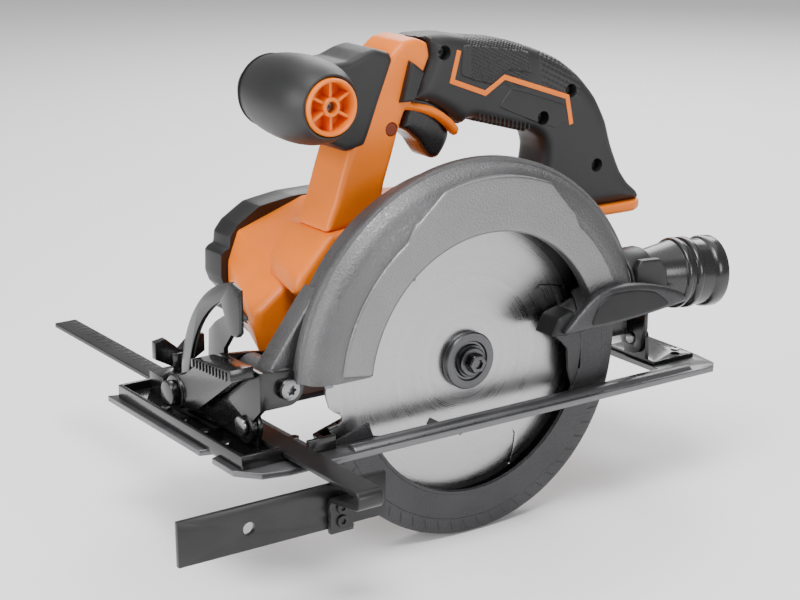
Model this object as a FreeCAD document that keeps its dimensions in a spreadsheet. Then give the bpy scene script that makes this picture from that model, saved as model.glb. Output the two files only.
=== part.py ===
"""Cordless circular saw with a 165 mm blade: every piece is one object of a parametric document.

Frame: +X points to the rear of the saw, -Y to the blade side and +Z up. The origin is the point of the
sole plane straight below the arbor, in the plane of the blade, where the saw cuts. Millimetres.
"""
import FreeCAD, Part

import math
import os
import re

import Sketcher
from FreeCAD import Placement, Rotation, Vector

# Driving dimensions: alias, value, meaning. Everything else is worked out from these cells.
SIZES = [
    ("arbor_height", 28.0, "arbor axis above the sole at full depth"),
    ("blade_radius", 82.5, "tooth tips"),
    ("blade_plate", 1.1, "thickness of the blade's disc"),
    ("blade_bore", 10.0, "radius of the blade's bore"),
    ("tooth_count", 24.0, "teeth of the blade"),
    ("tooth_height", 7.0, "depth of a gullet"),
    ("running_gap", 0.05, "radial clearance of a turning or sliding fit"),
    ("seat_gap", 0.02, "radial clearance of a fixed fit"),
    ("face_gap", 0.5, "axial clearance between pieces that move past each other"),
    ("outer_flange_radius", 14.5, "clamping flange in front of the blade"),
    ("outer_flange_width", 4.4, ""),
    ("inner_flange_radius", 17.0, "clamping flange behind the blade"),
    ("inner_flange_width", 3.4, ""),
    ("blade_bolt_radius", 4.0, "M8"),
    ("blade_bolt_head", 7.4, "radius of the bolt's collar"),
    ("blade_bolt_reach", 18.0, "how far the shank reaches behind the blade"),
    ("spindle_radius", 6.0, "journal"),
    ("spindle_tail", 4.0, "rear journal"),
    ("nose_radius", 21.0, "bearing nose that the lower guard turns on"),
    ("nose_front", 4.6, "front face of the nose behind the blade plane"),
    ("front_bearing_radius", 14.0, ""),
    ("front_bearing_width", 8.0, ""),
    ("rear_bearing_radius", 11.0, ""),
    ("rear_bearing_width", 7.0, ""),
    ("gear_module", 1.0, ""),
    ("gear_teeth", 44.0, "output gear"),
    ("pinion_teeth", 10.0, "motor pinion"),
    ("gear_front", 17.0, "front face of the gears"),
    ("gear_width", 8.0, ""),
    ("motor_angle", 140.0, "direction of the motor axis seen from the arbor"),
    ("case_wall", 2.6, "gear case wall"),
    ("lower_gap", 3.0, "tooth tips to the inside of the lower guard"),
    ("lower_wall", 2.5, "lower guard rim"),
    ("lower_near", -9.0, "near face of the lower guard"),
    ("lower_far", 8.5, "far face of the lower guard"),
    ("lower_sheet", 1.6, "side walls of the lower guard"),
    ("lower_inner", 65.5, "inner edge of the lower guard's near wall"),
    ("lower_front_end", 196.0, "front end of the lower guard, degrees from the rear"),
    ("lower_rear_end", 24.0, "rear end of the lower guard, degrees above the rear"),
    ("upper_gap", 3.5, "lower guard to the inside of the upper guard"),
    ("upper_wall", 4.0, "upper guard shell"),
    ("upper_near", -18.5, "near face of the upper guard"),
    ("upper_far", 13.5, "far face of the upper guard"),
    ("upper_sheet", 3.0, "side walls of the upper guard"),
    ("upper_inner", 68.0, "inner edge of the near wall"),
    ("upper_rim", 7.0, "bead round the upper guard"),
    ("upper_front_edge", 36.5, "height of the guard's front lower edge"),
    ("upper_rear_edge", 51.0, "height of the guard's rear lower edge"),
    ("sole_thickness", 3.0, ""),
    ("sole_front", -138.0, ""),
    ("sole_rear", 151.0, ""),
    ("sole_near", -24.0, ""),
    ("sole_far", 121.0, ""),
    ("window_front", -92.0, "blade opening in the sole"),
    ("window_rear", 118.0, ""),
    ("window_near", -10.0, ""),
    ("window_far", 62.0, ""),
    ("sheet", 2.5, "stamped brackets"),
    ("channel_sheet", 2.0, "front channel"),
    ("channel_lip", 5.0, "height of the channel's lips above its floor"),
    ("bevel_y", 11.0, "bevel axis, along X"),
    ("bevel_z", 15.0, ""),
    ("bevel_pin", 3.0, "radius"),
    ("yoke_front", -120.0, "front face of the yoke"),
    ("yoke_near", -5.0, "outside of the near ear"),
    ("yoke_far", 33.0, "outside of the far ear"),
    ("depth_x", -105.0, "depth pivot, along Y"),
    ("depth_z", 34.5, ""),
    ("depth_pin", 3.0, "radius"),
    ("barrel_radius", 8.8, "pivot barrel of the upper guard"),
    ("ear_radius", 8.5, ""),
    ("quadrant_outer", 67.0, "bevel quadrant"),
    ("quadrant_inner", 59.0, ""),
    ("bevel_bolt", 2.9, "radius of the bevel lock bolt"),
    ("bevel_bolt_angle", 2.0, "of the bolt above the horizontal"),
    ("depth_arc", 150.0, "radius of the depth bracket's slot about the depth pivot"),
    ("depth_arc_width", 14.0, ""),
    ("depth_arc_sweep", 31.0, "depth travel in degrees"),
    ("depth_bolt", 2.9, "radius of the depth lock bolt"),
    ("fence_width", 13.0, "width of the fence bar"),
    ("fence_sheet", 2.5, ""),
    ("fence_x", -106.5, "middle of the fence bar"),
    ("fence_reach", -76.0, "near end of the fence bar"),
    ("fence_tail", 235.0, "far end of the fence bar"),
    ("fence_plate_y", -52.0, "near face of the fence plate"),
    ("handle_y", 40.0, "middle plane of the handle"),
    ("handle_half", 15.0, "half the handle's width"),
    ("shell_wall", 2.5, "plastic shells"),
    ("motor_radius", 25.0, "outside of the stator"),
    ("housing_far", 100.0, "far end of the motor housing"),
    ("cap_far", 121.0, "far end of the motor's end cap"),
    ("egg_x", -69.5, "axis of the auxiliary handle"),
    ("egg_z", 160.0, ""),
    ("egg_radius", 21.0, ""),
    ("egg_near", 10.0, ""),
    ("egg_far", 84.0, ""),
    ("egg_cap_radius", 13.6, "its orange end cap"),
    ("nozzle_radius", 18.5, "dust port outside"),
    ("nozzle_bore", 15.5, "dust port inside"),
    ("nozzle_length", 45.0, ""),
]

doc = FreeCAD.newDocument("circular_saw")
sheet = doc.addObject("Spreadsheet::Sheet", "Sizes")
for row, (alias, number, meaning) in enumerate(SIZES, start=1):
    sheet.set(f"A{row}", meaning or alias.replace("_", " "))
    sheet.set(f"B{row}", str(number))
    sheet.setAlias(f"B{row}", alias)
doc.recompute()

NAMES = {alias for alias, _, _ in SIZES}
AXIS_TURN = {
    "X": Rotation(Vector(0, 1, 0), 90),
    "Y": Rotation(Vector(1, 0, 0), -90),
    "Z": Rotation(),
}
nodes = {}


class Cells:
    """Reads a cell of the sheet as a number: at.blade_radius."""

    def __getattr__(self, alias):
        return float(getattr(sheet, alias))


at = Cells()


def formula(text):
    """Write a formula in the sheet's aliases the way a bound property reads it."""
    return re.sub(r"[a-z]\w+", lambda m: f"Sizes.{m[0]}" if m[0] in NAMES else m[0], str(text))


def bind(thing, **sizes):
    """Bind properties of an object to formulas; double underscores stand for dots."""
    for name, text in sizes.items():
        thing.setExpression(name.replace("__", "."), formula(text))
    return thing


def place(thing, x=0, y=0, z=0):
    return bind(thing, Placement__Base__x=x, Placement__Base__y=y, Placement__Base__z=z)


def box(name, x, y, z):
    """A box between two formulas on each axis."""
    solid = doc.addObject("Part::Box", name)
    bind(solid, Length=f"({x[1]}) - ({x[0]})", Width=f"({y[1]}) - ({y[0]})", Height=f"({z[1]}) - ({z[0]})")
    return place(solid, x[0], y[0], z[0])


def rod(name, axis, radius, start, end, centre):
    """A cylinder along an axis, from start to end; centre holds the other two coordinates in X, Y, Z order."""
    solid = doc.addObject("Part::Cylinder", name)
    solid.Placement = Placement(Vector(), AXIS_TURN[axis])
    bind(solid, Radius=radius, Height=f"({end}) - ({start})")
    spot = list(centre)
    spot.insert("XYZ".index(axis), start)
    return place(solid, *spot)


def cone(name, axis, radius_start, radius_end, start, end, centre):
    solid = doc.addObject("Part::Cone", name)
    solid.Placement = Placement(Vector(), AXIS_TURN[axis])
    bind(solid, Radius1=radius_start, Radius2=radius_end, Height=f"({end}) - ({start})")
    spot = list(centre)
    spot.insert("XYZ".index(axis), start)
    return place(solid, *spot)


def union(name, *shapes):
    solid = doc.addObject("Part::MultiFuse", name)
    solid.Shapes = list(shapes)
    solid.Refine = True
    return solid


def cut(name, base, *tools):
    for number, tool in enumerate(tools):
        last = number == len(tools) - 1
        solid = doc.addObject("Part::Cut", name if last else f"{name}_cut{number}")
        solid.Base, solid.Tool = base, tool
        base = solid
    return base


def common(name, base, tool):
    solid = doc.addObject("Part::Common", name)
    solid.Base, solid.Tool = base, tool
    return solid


def group(name, *shapes):
    solid = doc.addObject("Part::Compound", name)
    solid.Links = list(shapes)
    return solid


def raw(name, shape):
    """A piece whose shape follows a rule that neither a sketch nor a primitive gives."""
    solid = doc.addObject("Part::Feature", name)
    solid.Shape = shape
    return solid


def new_body(name):
    return doc.addObject("PartDesign::Body", name)


def sketch_on(body, plane, outlines, offset="0"):
    """A sketch on one of the body's own planes; every point's place is a bound constraint."""
    sketch = body.newObject("Sketcher::SketchObject", body.Name + "_sketch")
    origin = [f for f in body.Origin.OriginFeatures if f.Role == f"{plane}_Plane"][0]
    sketch.AttachmentSupport = [(origin, "")]
    sketch.MapMode = "FlatFace"
    bind(sketch, AttachmentOffset__Base__z=offset)
    pending = []
    for outline in outlines:
        spots = [Vector(guess(u), guess(v), 0) for u, v in outline]
        first = len(sketch.Geometry)
        for start, end in zip(spots, spots[1:] + spots[:1]):
            sketch.addGeometry(Part.LineSegment(start, end), False)
        count = len(spots)
        for index in range(count):
            follower = first + (index + 1) % count
            sketch.addConstraint(Sketcher.Constraint("Coincident", first + index, 2, follower, 1))
        for index, (u, v) in enumerate(outline):
            for kind, size, spot in (("DistanceX", u, spots[index].x), ("DistanceY", v, spots[index].y)):
                made = sketch.addConstraint(Sketcher.Constraint(kind, -1, 1, first + index, 1, spot))
                pending.append((made, size))
    for made, size in pending:
        if isinstance(size, str):
            sketch.setExpression(f"Constraints[{made}]", formula(size))
    return sketch


def guess(size):
    """The number that a formula has now, worked out by the sheet itself."""
    if not isinstance(size, str):
        return float(size)
    sheet.set("D1", "=" + size)
    sheet.recompute()
    number = float(sheet.get("D1"))
    sheet.clear("D1")
    return number


def finished(name, solid):
    """Enter a sub-part under its node name."""
    solid.Label = name
    nodes[name] = solid
    return solid


def plate(name, plane, outline, low, high, holes=()):
    """A plate between two heights along its plane's third axis: a body with a bound sketch and a pad."""
    body = new_body(name)
    start = f"-({high})" if plane == "XZ" else str(low)
    sketch = sketch_on(body, plane, [outline, *holes], start)
    pad = body.newObject("PartDesign::Pad", name + "_pad")
    pad.Profile = sketch
    bind(pad, Length=f"({high}) - ({low})")
    sketch.Visibility = False
    return body


def turned(name, axis, outline, centre=(0, 0)):
    """A turned piece: outline pairs are (along the axis, radius); centre holds the other two coordinates."""
    body = new_body(name)
    along_first = axis == "X"
    pairs = [(a, r) if along_first else (r, a) for a, r in outline]
    sketch = sketch_on(body, "XZ" if axis == "Z" else "XY", [pairs])
    turn = body.newObject("PartDesign::Revolution", name + "_turn")
    turn.Profile = sketch
    turn.ReferenceAxis = (sketch, ["H_Axis" if along_first else "V_Axis"])
    turn.Angle = 360
    spot = list(centre)
    spot.insert("XYZ".index(axis), 0)
    return place(body, *spot)


def ring(name, axis, outer, inner, start, end, centre):
    return cut(name, rod(name + "_outside", axis, outer, start, end, centre),
               rod(name + "_inside", axis, inner, f"({start}) - 1", f"({end}) + 1", centre))


def ring_arc(name, axis, centre, radii, angles, low, high):
    """A flat arc: a ring cut to a wedge between two angles of less than a half turn."""
    outer, inner = radii
    start, end = (guess(angle) for angle in angles)
    steps = [start, start + (end - start) / 3, end - (end - start) / 3, end]
    u, v = centre
    wedge = [(u, v)] + [
        (f"{u} + 2 * ({outer}) * cos({angle})", f"{v} + 2 * ({outer}) * sin({angle})") for angle in steps
    ]
    blank = plate(name + "_wedge", "YZ" if axis == "X" else "XZ", wedge, low, high)
    return common(name, ring(name + "_ring", axis, outer, inner, low, high, centre), blank)


def polar(centre, radius, angle):
    """Formulas for the point at a radius and an angle in degrees from a centre."""
    u, v = centre
    return f"{u} + ({radius}) * cos({angle})", f"{v} + ({radius}) * sin({angle})"


def hull_outline(first, second, first_radius, second_radius, direction):
    """The four corners that join two circles whose centres lie along a direction."""
    return [
        polar(first, first_radius, f"{direction} + 90"),
        polar(second, second_radius, f"{direction} + 90"),
        polar(second, second_radius, f"{direction} - 90"),
        polar(first, first_radius, f"{direction} - 90"),
    ]


def shelled(name, outline, low, high, wall, open_end, holes=()):
    """A tray in the XZ plane: the outline less the same outline drawn in by its wall, open at one end along Y."""
    outside = plate(name + "_outside", "XZ", outline, low, high, holes)
    wires = [
        Part.makePolygon([Vector(guess(x), 0, guess(z)) for x, z in line + line[:1]]) for line in [outline, *holes]
    ]
    face = Part.makeFace(wires, "Part::FaceMakerBullseye")
    start = f"({low}) - 1" if open_end == "low" else f"({low}) + {wall}"
    depth = guess(f"({high}) - ({low}) - {wall} + 1")
    room = raw(name + "_inside", face.makeOffset2D(-guess(wall)).extrude(Vector(0, depth, 0)))
    return cut(name, outside, place(room, 0, start, 0))


def toothed_disc(teeth, tip, root, tip_share, thickness, bore):
    """A spur gear or a pinion, from its tip and root radii, lying in the XZ plane and rising along +Y."""
    pitch = 2 * math.pi / teeth
    points = []
    for tooth in range(teeth):
        middle = tooth * pitch
        for radius, share in ((root, -0.5), (root, -0.36), (tip, -tip_share), (tip, tip_share), (root, 0.36)):
            angle = middle + share * pitch
            points.append(Vector(radius * math.cos(angle), 0, radius * math.sin(angle)))
    face = Part.Face(Part.makePolygon(points + points[:1]))
    hole = Part.makeCylinder(bore, thickness, Vector(), Vector(0, 1, 0))
    solid = face.extrude(Vector(0, thickness, 0))
    return solid.cut(hole)


ARBOR = (0, "arbor_height")
DEPTH = ("depth_x", "depth_z")
BEVEL = ("bevel_y", "bevel_z")
BEVEL_BOLT_ARM = "quadrant_inner - bevel_bolt - 0.3"
BEVEL_BOLT = polar(BEVEL, BEVEL_BOLT_ARM, "bevel_bolt_angle")
CENTRES = "gear_module * (gear_teeth + pinion_teeth) / 2"
MOTOR = polar(ARBOR, CENTRES, "motor_angle")
LOWER_OUTER = "blade_radius + lower_gap + lower_wall"
UPPER_INSIDE = f"{LOWER_OUTER} + upper_gap"
UPPER_OUTSIDE = f"{UPPER_INSIDE} + upper_wall"


def build_sole():
    """The sole plate with its stamped brackets, rivets and the pins that the bevel frame turns on."""
    outline = [
        ("sole_front", "sole_near + 14"), ("sole_front + 9", "sole_near + 3"), ("sole_front + 22", "sole_near"),
        ("sole_rear - 7", "sole_near"), ("sole_rear - 2", "sole_near + 5"), ("sole_rear", "sole_near + 20"),
        ("sole_rear", "sole_far - 6"), ("sole_rear - 6", "sole_far"), ("sole_front + 24", "sole_far"),
        ("sole_front + 17", "sole_far - 9"), ("sole_front", "sole_far - 3"),
        ("sole_front", 22), ("sole_front + 6", 20), ("sole_front + 6", 12), ("sole_front", 10),
    ]
    window = [
        ("window_front", "window_near"), ("window_rear", "window_near"),
        ("window_rear", "window_far"), ("window_front", "window_far"),
    ]
    blank = plate("sole_blank", "XY", outline, 0, "sole_thickness", holes=[window])
    bead_line = rod("bead_rod", "X", 5, "window_front + 13", "window_rear + 13", ("sole_near + 6", 0))
    bead_band = box("bead_band", ("sole_front", "sole_rear"), ("sole_near", "window_near"),
                    ("sole_thickness / 2", "sole_thickness + 3"))
    sole = union("sole_with_bead", blank, common("bead", bead_line, bead_band))
    bolt_hole = rod("sole_bolt_hole", "Z", "2.5 + seat_gap", -1, 9, ("sole_rear - 12.5", 0))
    finished("sole_plate", cut("sole", sole, bolt_hole))

    floor = ("sole_thickness", "sole_thickness + channel_sheet")
    lip_top = "sole_thickness + channel_sheet + channel_lip"
    span = ("yoke_front - 15", "window_front - 2")
    reach = ("window_near - 3", 112)
    walls = [
        box("channel_floor", span, reach, floor),
        box("channel_front_lip", (span[0], f"{span[0]} + channel_sheet"), reach, (floor[0], lip_top)),
        box("channel_near_lip", (span[0], "window_front + 8"), (reach[0], f"{reach[0]} + channel_sheet"),
            (floor[0], lip_top)),
        box("channel_far_lip", span, (f"{reach[1]} - channel_sheet", reach[1]), (floor[0], lip_top)),
    ]
    bar_slot = box("channel_slot", ("fence_x - fence_width / 2 - 0.4", "fence_x + fence_width / 2 + 0.4"),
                   ("sole_near", "sole_far"), (floor[1], 30))
    finished("front_channel", cut("channel", union("channel_walls", *walls), bar_slot))

    strap = box("strap_block", ("fence_x - 13", "fence_x + 11"), (92, 107), (floor[1], "channel_lip + 11"))
    tunnel = box("strap_tunnel", ("fence_x - fence_width / 2 - 0.4", "fence_x + fence_width / 2 + 0.4"),
                 (90, 109), (floor[1], "sole_thickness + channel_sheet + fence_sheet + 0.5"))
    thread = rod("strap_thread", "Z", "3 + running_gap", 0, 30, ("fence_x", 99.5))
    finished("fence_strap", cut("strap", strap, tunnel, thread))

    build_quadrant(floor[1])

    pins = []
    for name, head, shank_start, shank_end in (
        ("front", "yoke_front - 2.4", "yoke_front - 0.2", "yoke_front + 8.5"),
        ("rear", "window_rear + 6.6", "window_rear + 4.3", "window_rear - 2.5"),
    ):
        pins.append(union(f"bevel_pin_{name}",
                          rod(f"bevel_head_{name}", "X", 4.7, *sorted((head, shank_start), key=guess), BEVEL),
                          rod(f"bevel_shank_{name}", "X", "bevel_pin", *sorted((shank_start, shank_end), key=guess),
                              BEVEL)))
    finished("bevel_pins", group("bevel_pins_group", *pins))

    ear_x = ("window_rear + 1.6", "window_rear + 1.6 + sheet")
    foot = box("rear_foot", (ear_x[0], "sole_rear - 4"), (-5, 32), floor)
    upright = box("rear_upright", ear_x, ("bevel_y - ear_radius", "bevel_y + ear_radius"), (floor[0], "bevel_z"))
    ear = rod("rear_ear", "X", "ear_radius", *ear_x, BEVEL)
    finished("rear_bracket", cut("rear", union("rear_solid", foot, upright, ear),
                                 rod("rear_pin_hole", "X", "bevel_pin + seat_gap", 100, 140, BEVEL),
                                 rod("rear_bolt_hole", "Z", "2.5 + seat_gap", -1, 9, ("sole_rear - 12.5", 0))))

    bolt_spot = ("sole_rear - 12.5", 0)
    fasteners = [union("rear_bolt", rod("rear_bolt_head", "Z", 4.6, floor[1], f"{floor[1]} + 2.8", bolt_spot),
                       rod("rear_bolt_shank", "Z", 2.5, 0.5, floor[1], bolt_spot))]
    for number, y in enumerate((18, 38, 58, 78)):
        fasteners.append(rod(f"channel_rivet_{number}", "Z", 2.4, floor[1], f"{floor[1]} + 1.1",
                             ("yoke_front - 6", y)))
    fasteners.append(rod("strip_rivet", "Z", 2.6, floor[1], f"{floor[1]} + 1.8", ("window_front - 5", 4)))
    finished("sole_fasteners", group("sole_fasteners_group", *fasteners))


def build_quadrant(floor):
    """The C-shaped bevel quadrant: it leaves the yoke's far ear room to swing up past its hook."""
    faces = ("yoke_front + sheet + 0.7", "yoke_front + 2 * sheet + 0.7")
    post_near = "yoke_far + 0.5"
    web = [
        (4, floor), ("bevel_y + quadrant_outer + 6", floor), ("bevel_y + quadrant_outer + 6", 9),
        ("bevel_y + quadrant_outer - 2", 13), ("bevel_y + quadrant_inner - 1", 13),
        ("bevel_y + quadrant_inner - 1", 11), (f"{post_near} + 16.5", 11), (f"{post_near} + 16.5", 32),
        polar(BEVEL, "quadrant_inner - 6.6", 45), polar(BEVEL, "quadrant_inner - 6.6", 55),
        polar(BEVEL, "quadrant_inner - 6.6", 66), polar(BEVEL, "quadrant_inner + 0.5", 66),
        polar(BEVEL, "quadrant_outer - 0.5", 77), (18, "bevel_z + quadrant_outer - 4"), (18, 57), (21, 54.5),
        (26, 54.5), (post_near, 46), (post_near, 12), (4, 12),
    ]
    post = plate("quadrant_post", "YZ", web, *faces)
    band = ring_arc("quadrant_band", "X", BEVEL, ("quadrant_outer", "quadrant_inner"), ("-2", "77"), *faces)
    eye = rod("quadrant_eye", "X", "ear_radius", *faces, BEVEL)
    foot = box("quadrant_foot", (f"{faces[0]} - 5", faces[1]), (f"{post_near} + 2", "bevel_y + quadrant_outer"),
               (floor, f"{floor} + 2"))
    solid = union("quadrant_solid", post, band, eye, foot)
    pin_hole = rod("quadrant_pin_hole", "X", "bevel_pin + seat_gap", -130, -100, BEVEL)
    finished("bevel_quadrant", cut("quadrant", solid, pin_hole))


def build_fence():
    """The rip fence: a flat bar bent back under itself, its plate and rivets, and the wing screw."""
    half = "fence_width / 2"
    bar_x = (f"fence_x - {half}", f"fence_x + {half}")
    bar_z = "sole_thickness + channel_sheet + 0.2"
    drop = f"{bar_z} - 9.4"
    tab_y = ("fence_plate_y - 0.5", "fence_plate_y - 0.5 + fence_sheet")
    pieces = [
        box("bar_top", bar_x, ("fence_reach", "fence_tail"), (bar_z, f"{bar_z} + fence_sheet")),
        box("bar_bend", bar_x, ("fence_reach", "fence_reach + fence_sheet"), (drop, f"{bar_z} + fence_sheet")),
        box("bar_return", bar_x, ("fence_reach", tab_y[1]), (drop, f"{drop} + fence_sheet")),
        box("bar_tab", bar_x, tab_y, (-20, f"{drop} + fence_sheet")),
    ]
    rivet_spots = [("fence_x", -8), ("fence_x", -14.5)]
    holes = [rod(f"tab_hole_{n}", "Y", "2 + seat_gap", -60, -40, spot) for n, spot in enumerate(rivet_spots)]
    finished("fence_bar", cut("bar", union("bar_solid", *pieces), *holes))

    plate_y = (tab_y[1], f"{tab_y[1]} + fence_sheet")
    guide = box("guide_blank", ("fence_x - 81.5", "fence_x + 25.5"), plate_y, (-18, 3))
    screw_hole = rod("guide_screw_hole", "Y", 3, -60, -40, ("fence_x - 46.5", -8))
    holes = [rod(f"guide_hole_{n}", "Y", "2 + seat_gap", -60, -40, spot) for n, spot in enumerate(rivet_spots)]
    finished("fence_plate", cut("guide", guide, screw_hole, *holes))

    rivets = []
    for number, spot in enumerate(rivet_spots):
        rivets.append(union(f"fence_rivet_{number}",
                            rod(f"fence_rivet_head_{number}", "Y", 3, f"{tab_y[0]} - 1.2", tab_y[0], spot),
                            rod(f"fence_rivet_shank_{number}", "Y", 2, tab_y[0], plate_y[1], spot)))
    finished("fence_rivets", group("fence_rivets_group", *rivets))

    spot = ("fence_x", 99.5)
    seat = f"{bar_z} + fence_sheet + 0.3"
    wing = [("fence_x - 14", 24), ("fence_x - 14", 33), ("fence_x - 8", 34), ("fence_x", 27), ("fence_x + 8", 34),
            ("fence_x + 14", 33), ("fence_x + 14", 24), ("fence_x + 5", 19), ("fence_x - 5", 19)]
    finished("fence_screw", union("fence_screw_solid", rod("fence_stem", "Z", 3, seat, 24, spot),
                                  rod("fence_hub", "Z", 5, 19, 26, spot),
                                  plate("fence_wing", "XZ", wing, 97.5, 101.5)))


def build_bevel_frame():
    """The frame that tilts: front yoke, depth bracket, pivot bolt and lock bolt."""
    web_x = ("yoke_front", "yoke_front + sheet")
    ear_low = "depth_z - ear_radius"
    web = [
        ("yoke_near", ear_low), ("yoke_near", "depth_z + 10"), ("yoke_far", "depth_z + 10"),
        ("yoke_far", "bevel_z + 12"), (f"{BEVEL_BOLT[0]} + 2", "bevel_z + 10"), (f"{BEVEL_BOLT[0]} + 2", "bevel_z - 4"),
        ("bevel_y + 5", "bevel_z - 7"), ("bevel_y - 7", "bevel_z - 2"), ("bevel_y - 8", "bevel_z + 4"),
    ]
    near_y = ("yoke_near", "yoke_near + sheet")
    far_y = ("yoke_far - sheet", "yoke_far")
    near_ear = [("yoke_front", ear_low), ("yoke_front", "depth_z + 10"), ("depth_x", "depth_z + ear_radius"),
                ("depth_x", ear_low)]
    far_ear = [("yoke_front", "depth_z - 14"), ("yoke_front", "depth_z + 10"), ("depth_x", "depth_z + ear_radius"),
               ("depth_x + 24", "depth_z + 5"), ("depth_x + 46", "depth_z - 2"), ("depth_x + 49", "depth_z - 8"),
               ("depth_x + 44", "depth_z - 14")]
    solid = union("yoke_solid", plate("yoke_web", "YZ", web, *web_x),
                  rod("yoke_eye", "X", "ear_radius", *web_x, BEVEL),
                  rod("yoke_wing", "X", "ear_radius", *web_x, BEVEL_BOLT),
                  plate("yoke_near_ear", "XZ", near_ear, *near_y),
                  rod("yoke_near_round", "Y", "ear_radius", *near_y, DEPTH),
                  plate("yoke_far_ear", "XZ", far_ear, *far_y),
                  rod("yoke_far_round", "Y", "ear_radius", *far_y, DEPTH))
    finished("front_yoke", cut("yoke", solid,
                               rod("yoke_bevel_hole", "X", "bevel_pin + running_gap", -130, -110, BEVEL),
                               rod("yoke_bolt_hole", "X", "bevel_bolt + seat_gap", -130, -110, BEVEL_BOLT),
                               rod("yoke_depth_hole", "Y", "depth_pin + seat_gap", -20, 50, DEPTH)))

    y = ("upper_far + 1", "upper_far + 1 + sheet")
    arc = ring_arc("bracket_arc", "Y", DEPTH, ("depth_arc + depth_arc_width / 2", "depth_arc - depth_arc_width / 2"),
                   ("-8", "depth_arc_sweep + 3"), *y)
    slot = ring_arc("bracket_slot", "Y", DEPTH, ("depth_arc + depth_bolt + 0.25", "depth_arc - depth_bolt - 0.25"),
                    ("-1.5", "depth_arc_sweep + 1.5"), f"{y[0]} - 1", f"{y[1]} + 1")
    flange_x = ("window_rear - 1.5", "window_rear + 1")
    arm = box("bracket_arm", ("depth_x + depth_arc - 6", flange_x[1]), y, ("bevel_z + 1", "bevel_z + 11"))
    flange = plate("bracket_flange", "YZ", [("bevel_y - ear_radius", "bevel_z"), (y[1], "bevel_z"),
                                            (y[1], "bevel_z + 16"), ("bevel_y - 11", "bevel_z + 16"),
                                            ("bevel_y - 11", "bevel_z + 8")], *flange_x)
    eye = rod("bracket_eye", "X", "ear_radius", *flange_x, BEVEL)
    hole = rod("bracket_pin_hole", "X", "bevel_pin + running_gap", 100, 140, BEVEL)
    finished("depth_bracket", cut("bracket", union("bracket_solid", arc, arm, flange, eye), slot, hole))

    bolt = union("pivot_bolt_solid", rod("pivot_head", "Y", 5.3, "yoke_near - 3.2", "yoke_near", DEPTH),
                 rod("pivot_shank", "Y", "depth_pin", "yoke_near", "yoke_far + 4.5", DEPTH))
    finished("depth_pivot_bolt", bolt)
    lock_bolt = union("bevel_bolt_solid",
                      rod("bevel_bolt_head", "X", 6.4, "yoke_front - 11", "yoke_front - 7", BEVEL_BOLT),
                      rod("bevel_bolt_shank", "X", "bevel_bolt", "yoke_front - 7", "yoke_front + 11", BEVEL_BOLT))
    finished("bevel_lock_bolt", lock_bolt)
    nuts = [
        ring("pivot_nut", "Y", 5.5, "depth_pin + seat_gap", "yoke_far", "yoke_far + 4", DEPTH),
        ring("bevel_nut", "X", 5, "bevel_bolt + seat_gap", "yoke_front + 2 * sheet + 1", "yoke_front + 10", BEVEL_BOLT),
    ]
    finished("frame_nuts", group("frame_nuts_group", *nuts))


def build_locks():
    """The levers that clamp the bevel and the depth, and the depth lever's bolt."""
    y, z = BEVEL_BOLT
    arm_x = ("yoke_front - 5.5", "yoke_front - 1.5")
    arm = [(y, f"{z} - 7"), (f"{y} - 20", f"{z} - 4"), (f"{y} - 56", f"{z} + 20"), (f"{y} - 70", f"{z} + 26"),
           (f"{y} - 69", f"{z} + 31"), (f"{y} - 32", f"{z} + 27"), (f"{y} - 10", f"{z} + 12"), (y, f"{z} + 8")]
    pad = [(f"{y} - 70", f"{z} + 26"), (f"{y} - 69", f"{z} + 31"), (f"{y} - 32", f"{z} + 27"),
           (f"{y} - 32", f"{z} + 23")]
    hub_x = ("yoke_front - 6.8", "yoke_front - 0.3")
    solid = union("bevel_lever_solid", plate("bevel_lever_arm", "YZ", arm, *arm_x),
                  plate("bevel_lever_pad", "YZ", pad, "yoke_front - 14", arm_x[1]),
                  rod("bevel_lever_hub", "X", 8.5, *hub_x, BEVEL_BOLT))
    finished("bevel_lever", cut("bevel_lever_bored", solid,
                                rod("bevel_lever_bore", "X", "bevel_bolt + running_gap", -140, -100, BEVEL_BOLT)))

    spot = ("depth_x + depth_arc", "depth_z")
    plane = "upper_far + 1 + sheet"
    finished("depth_lock_bolt", union("depth_bolt_solid",
                                      rod("depth_bolt_head", "Y", 4.4, "upper_far - 4.2", "upper_far - 3", spot),
                                      rod("depth_bolt_shank", "Y", "depth_bolt", "upper_far - 3", f"{plane} + 9", spot)))
    x, z = spot
    arm = [(x, f"{z} - 6"), (f"{x} + 44", f"{z} + 2"), (f"{x} + 50", f"{z} + 8"), (f"{x} + 46", f"{z} + 13"),
           (x, f"{z} + 6")]
    solid = union("depth_lever_solid", plate("depth_lever_arm", "XZ", arm, f"{plane} + 1.5", f"{plane} + 6"),
                  rod("depth_lever_hub", "Y", 8, f"{plane} + 0.4", f"{plane} + 8", spot))
    finished("depth_lever", cut("depth_lever_bored", solid,
                                rod("depth_lever_bore", "Y", "depth_bolt + running_gap", 0, 50, spot)))


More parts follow.
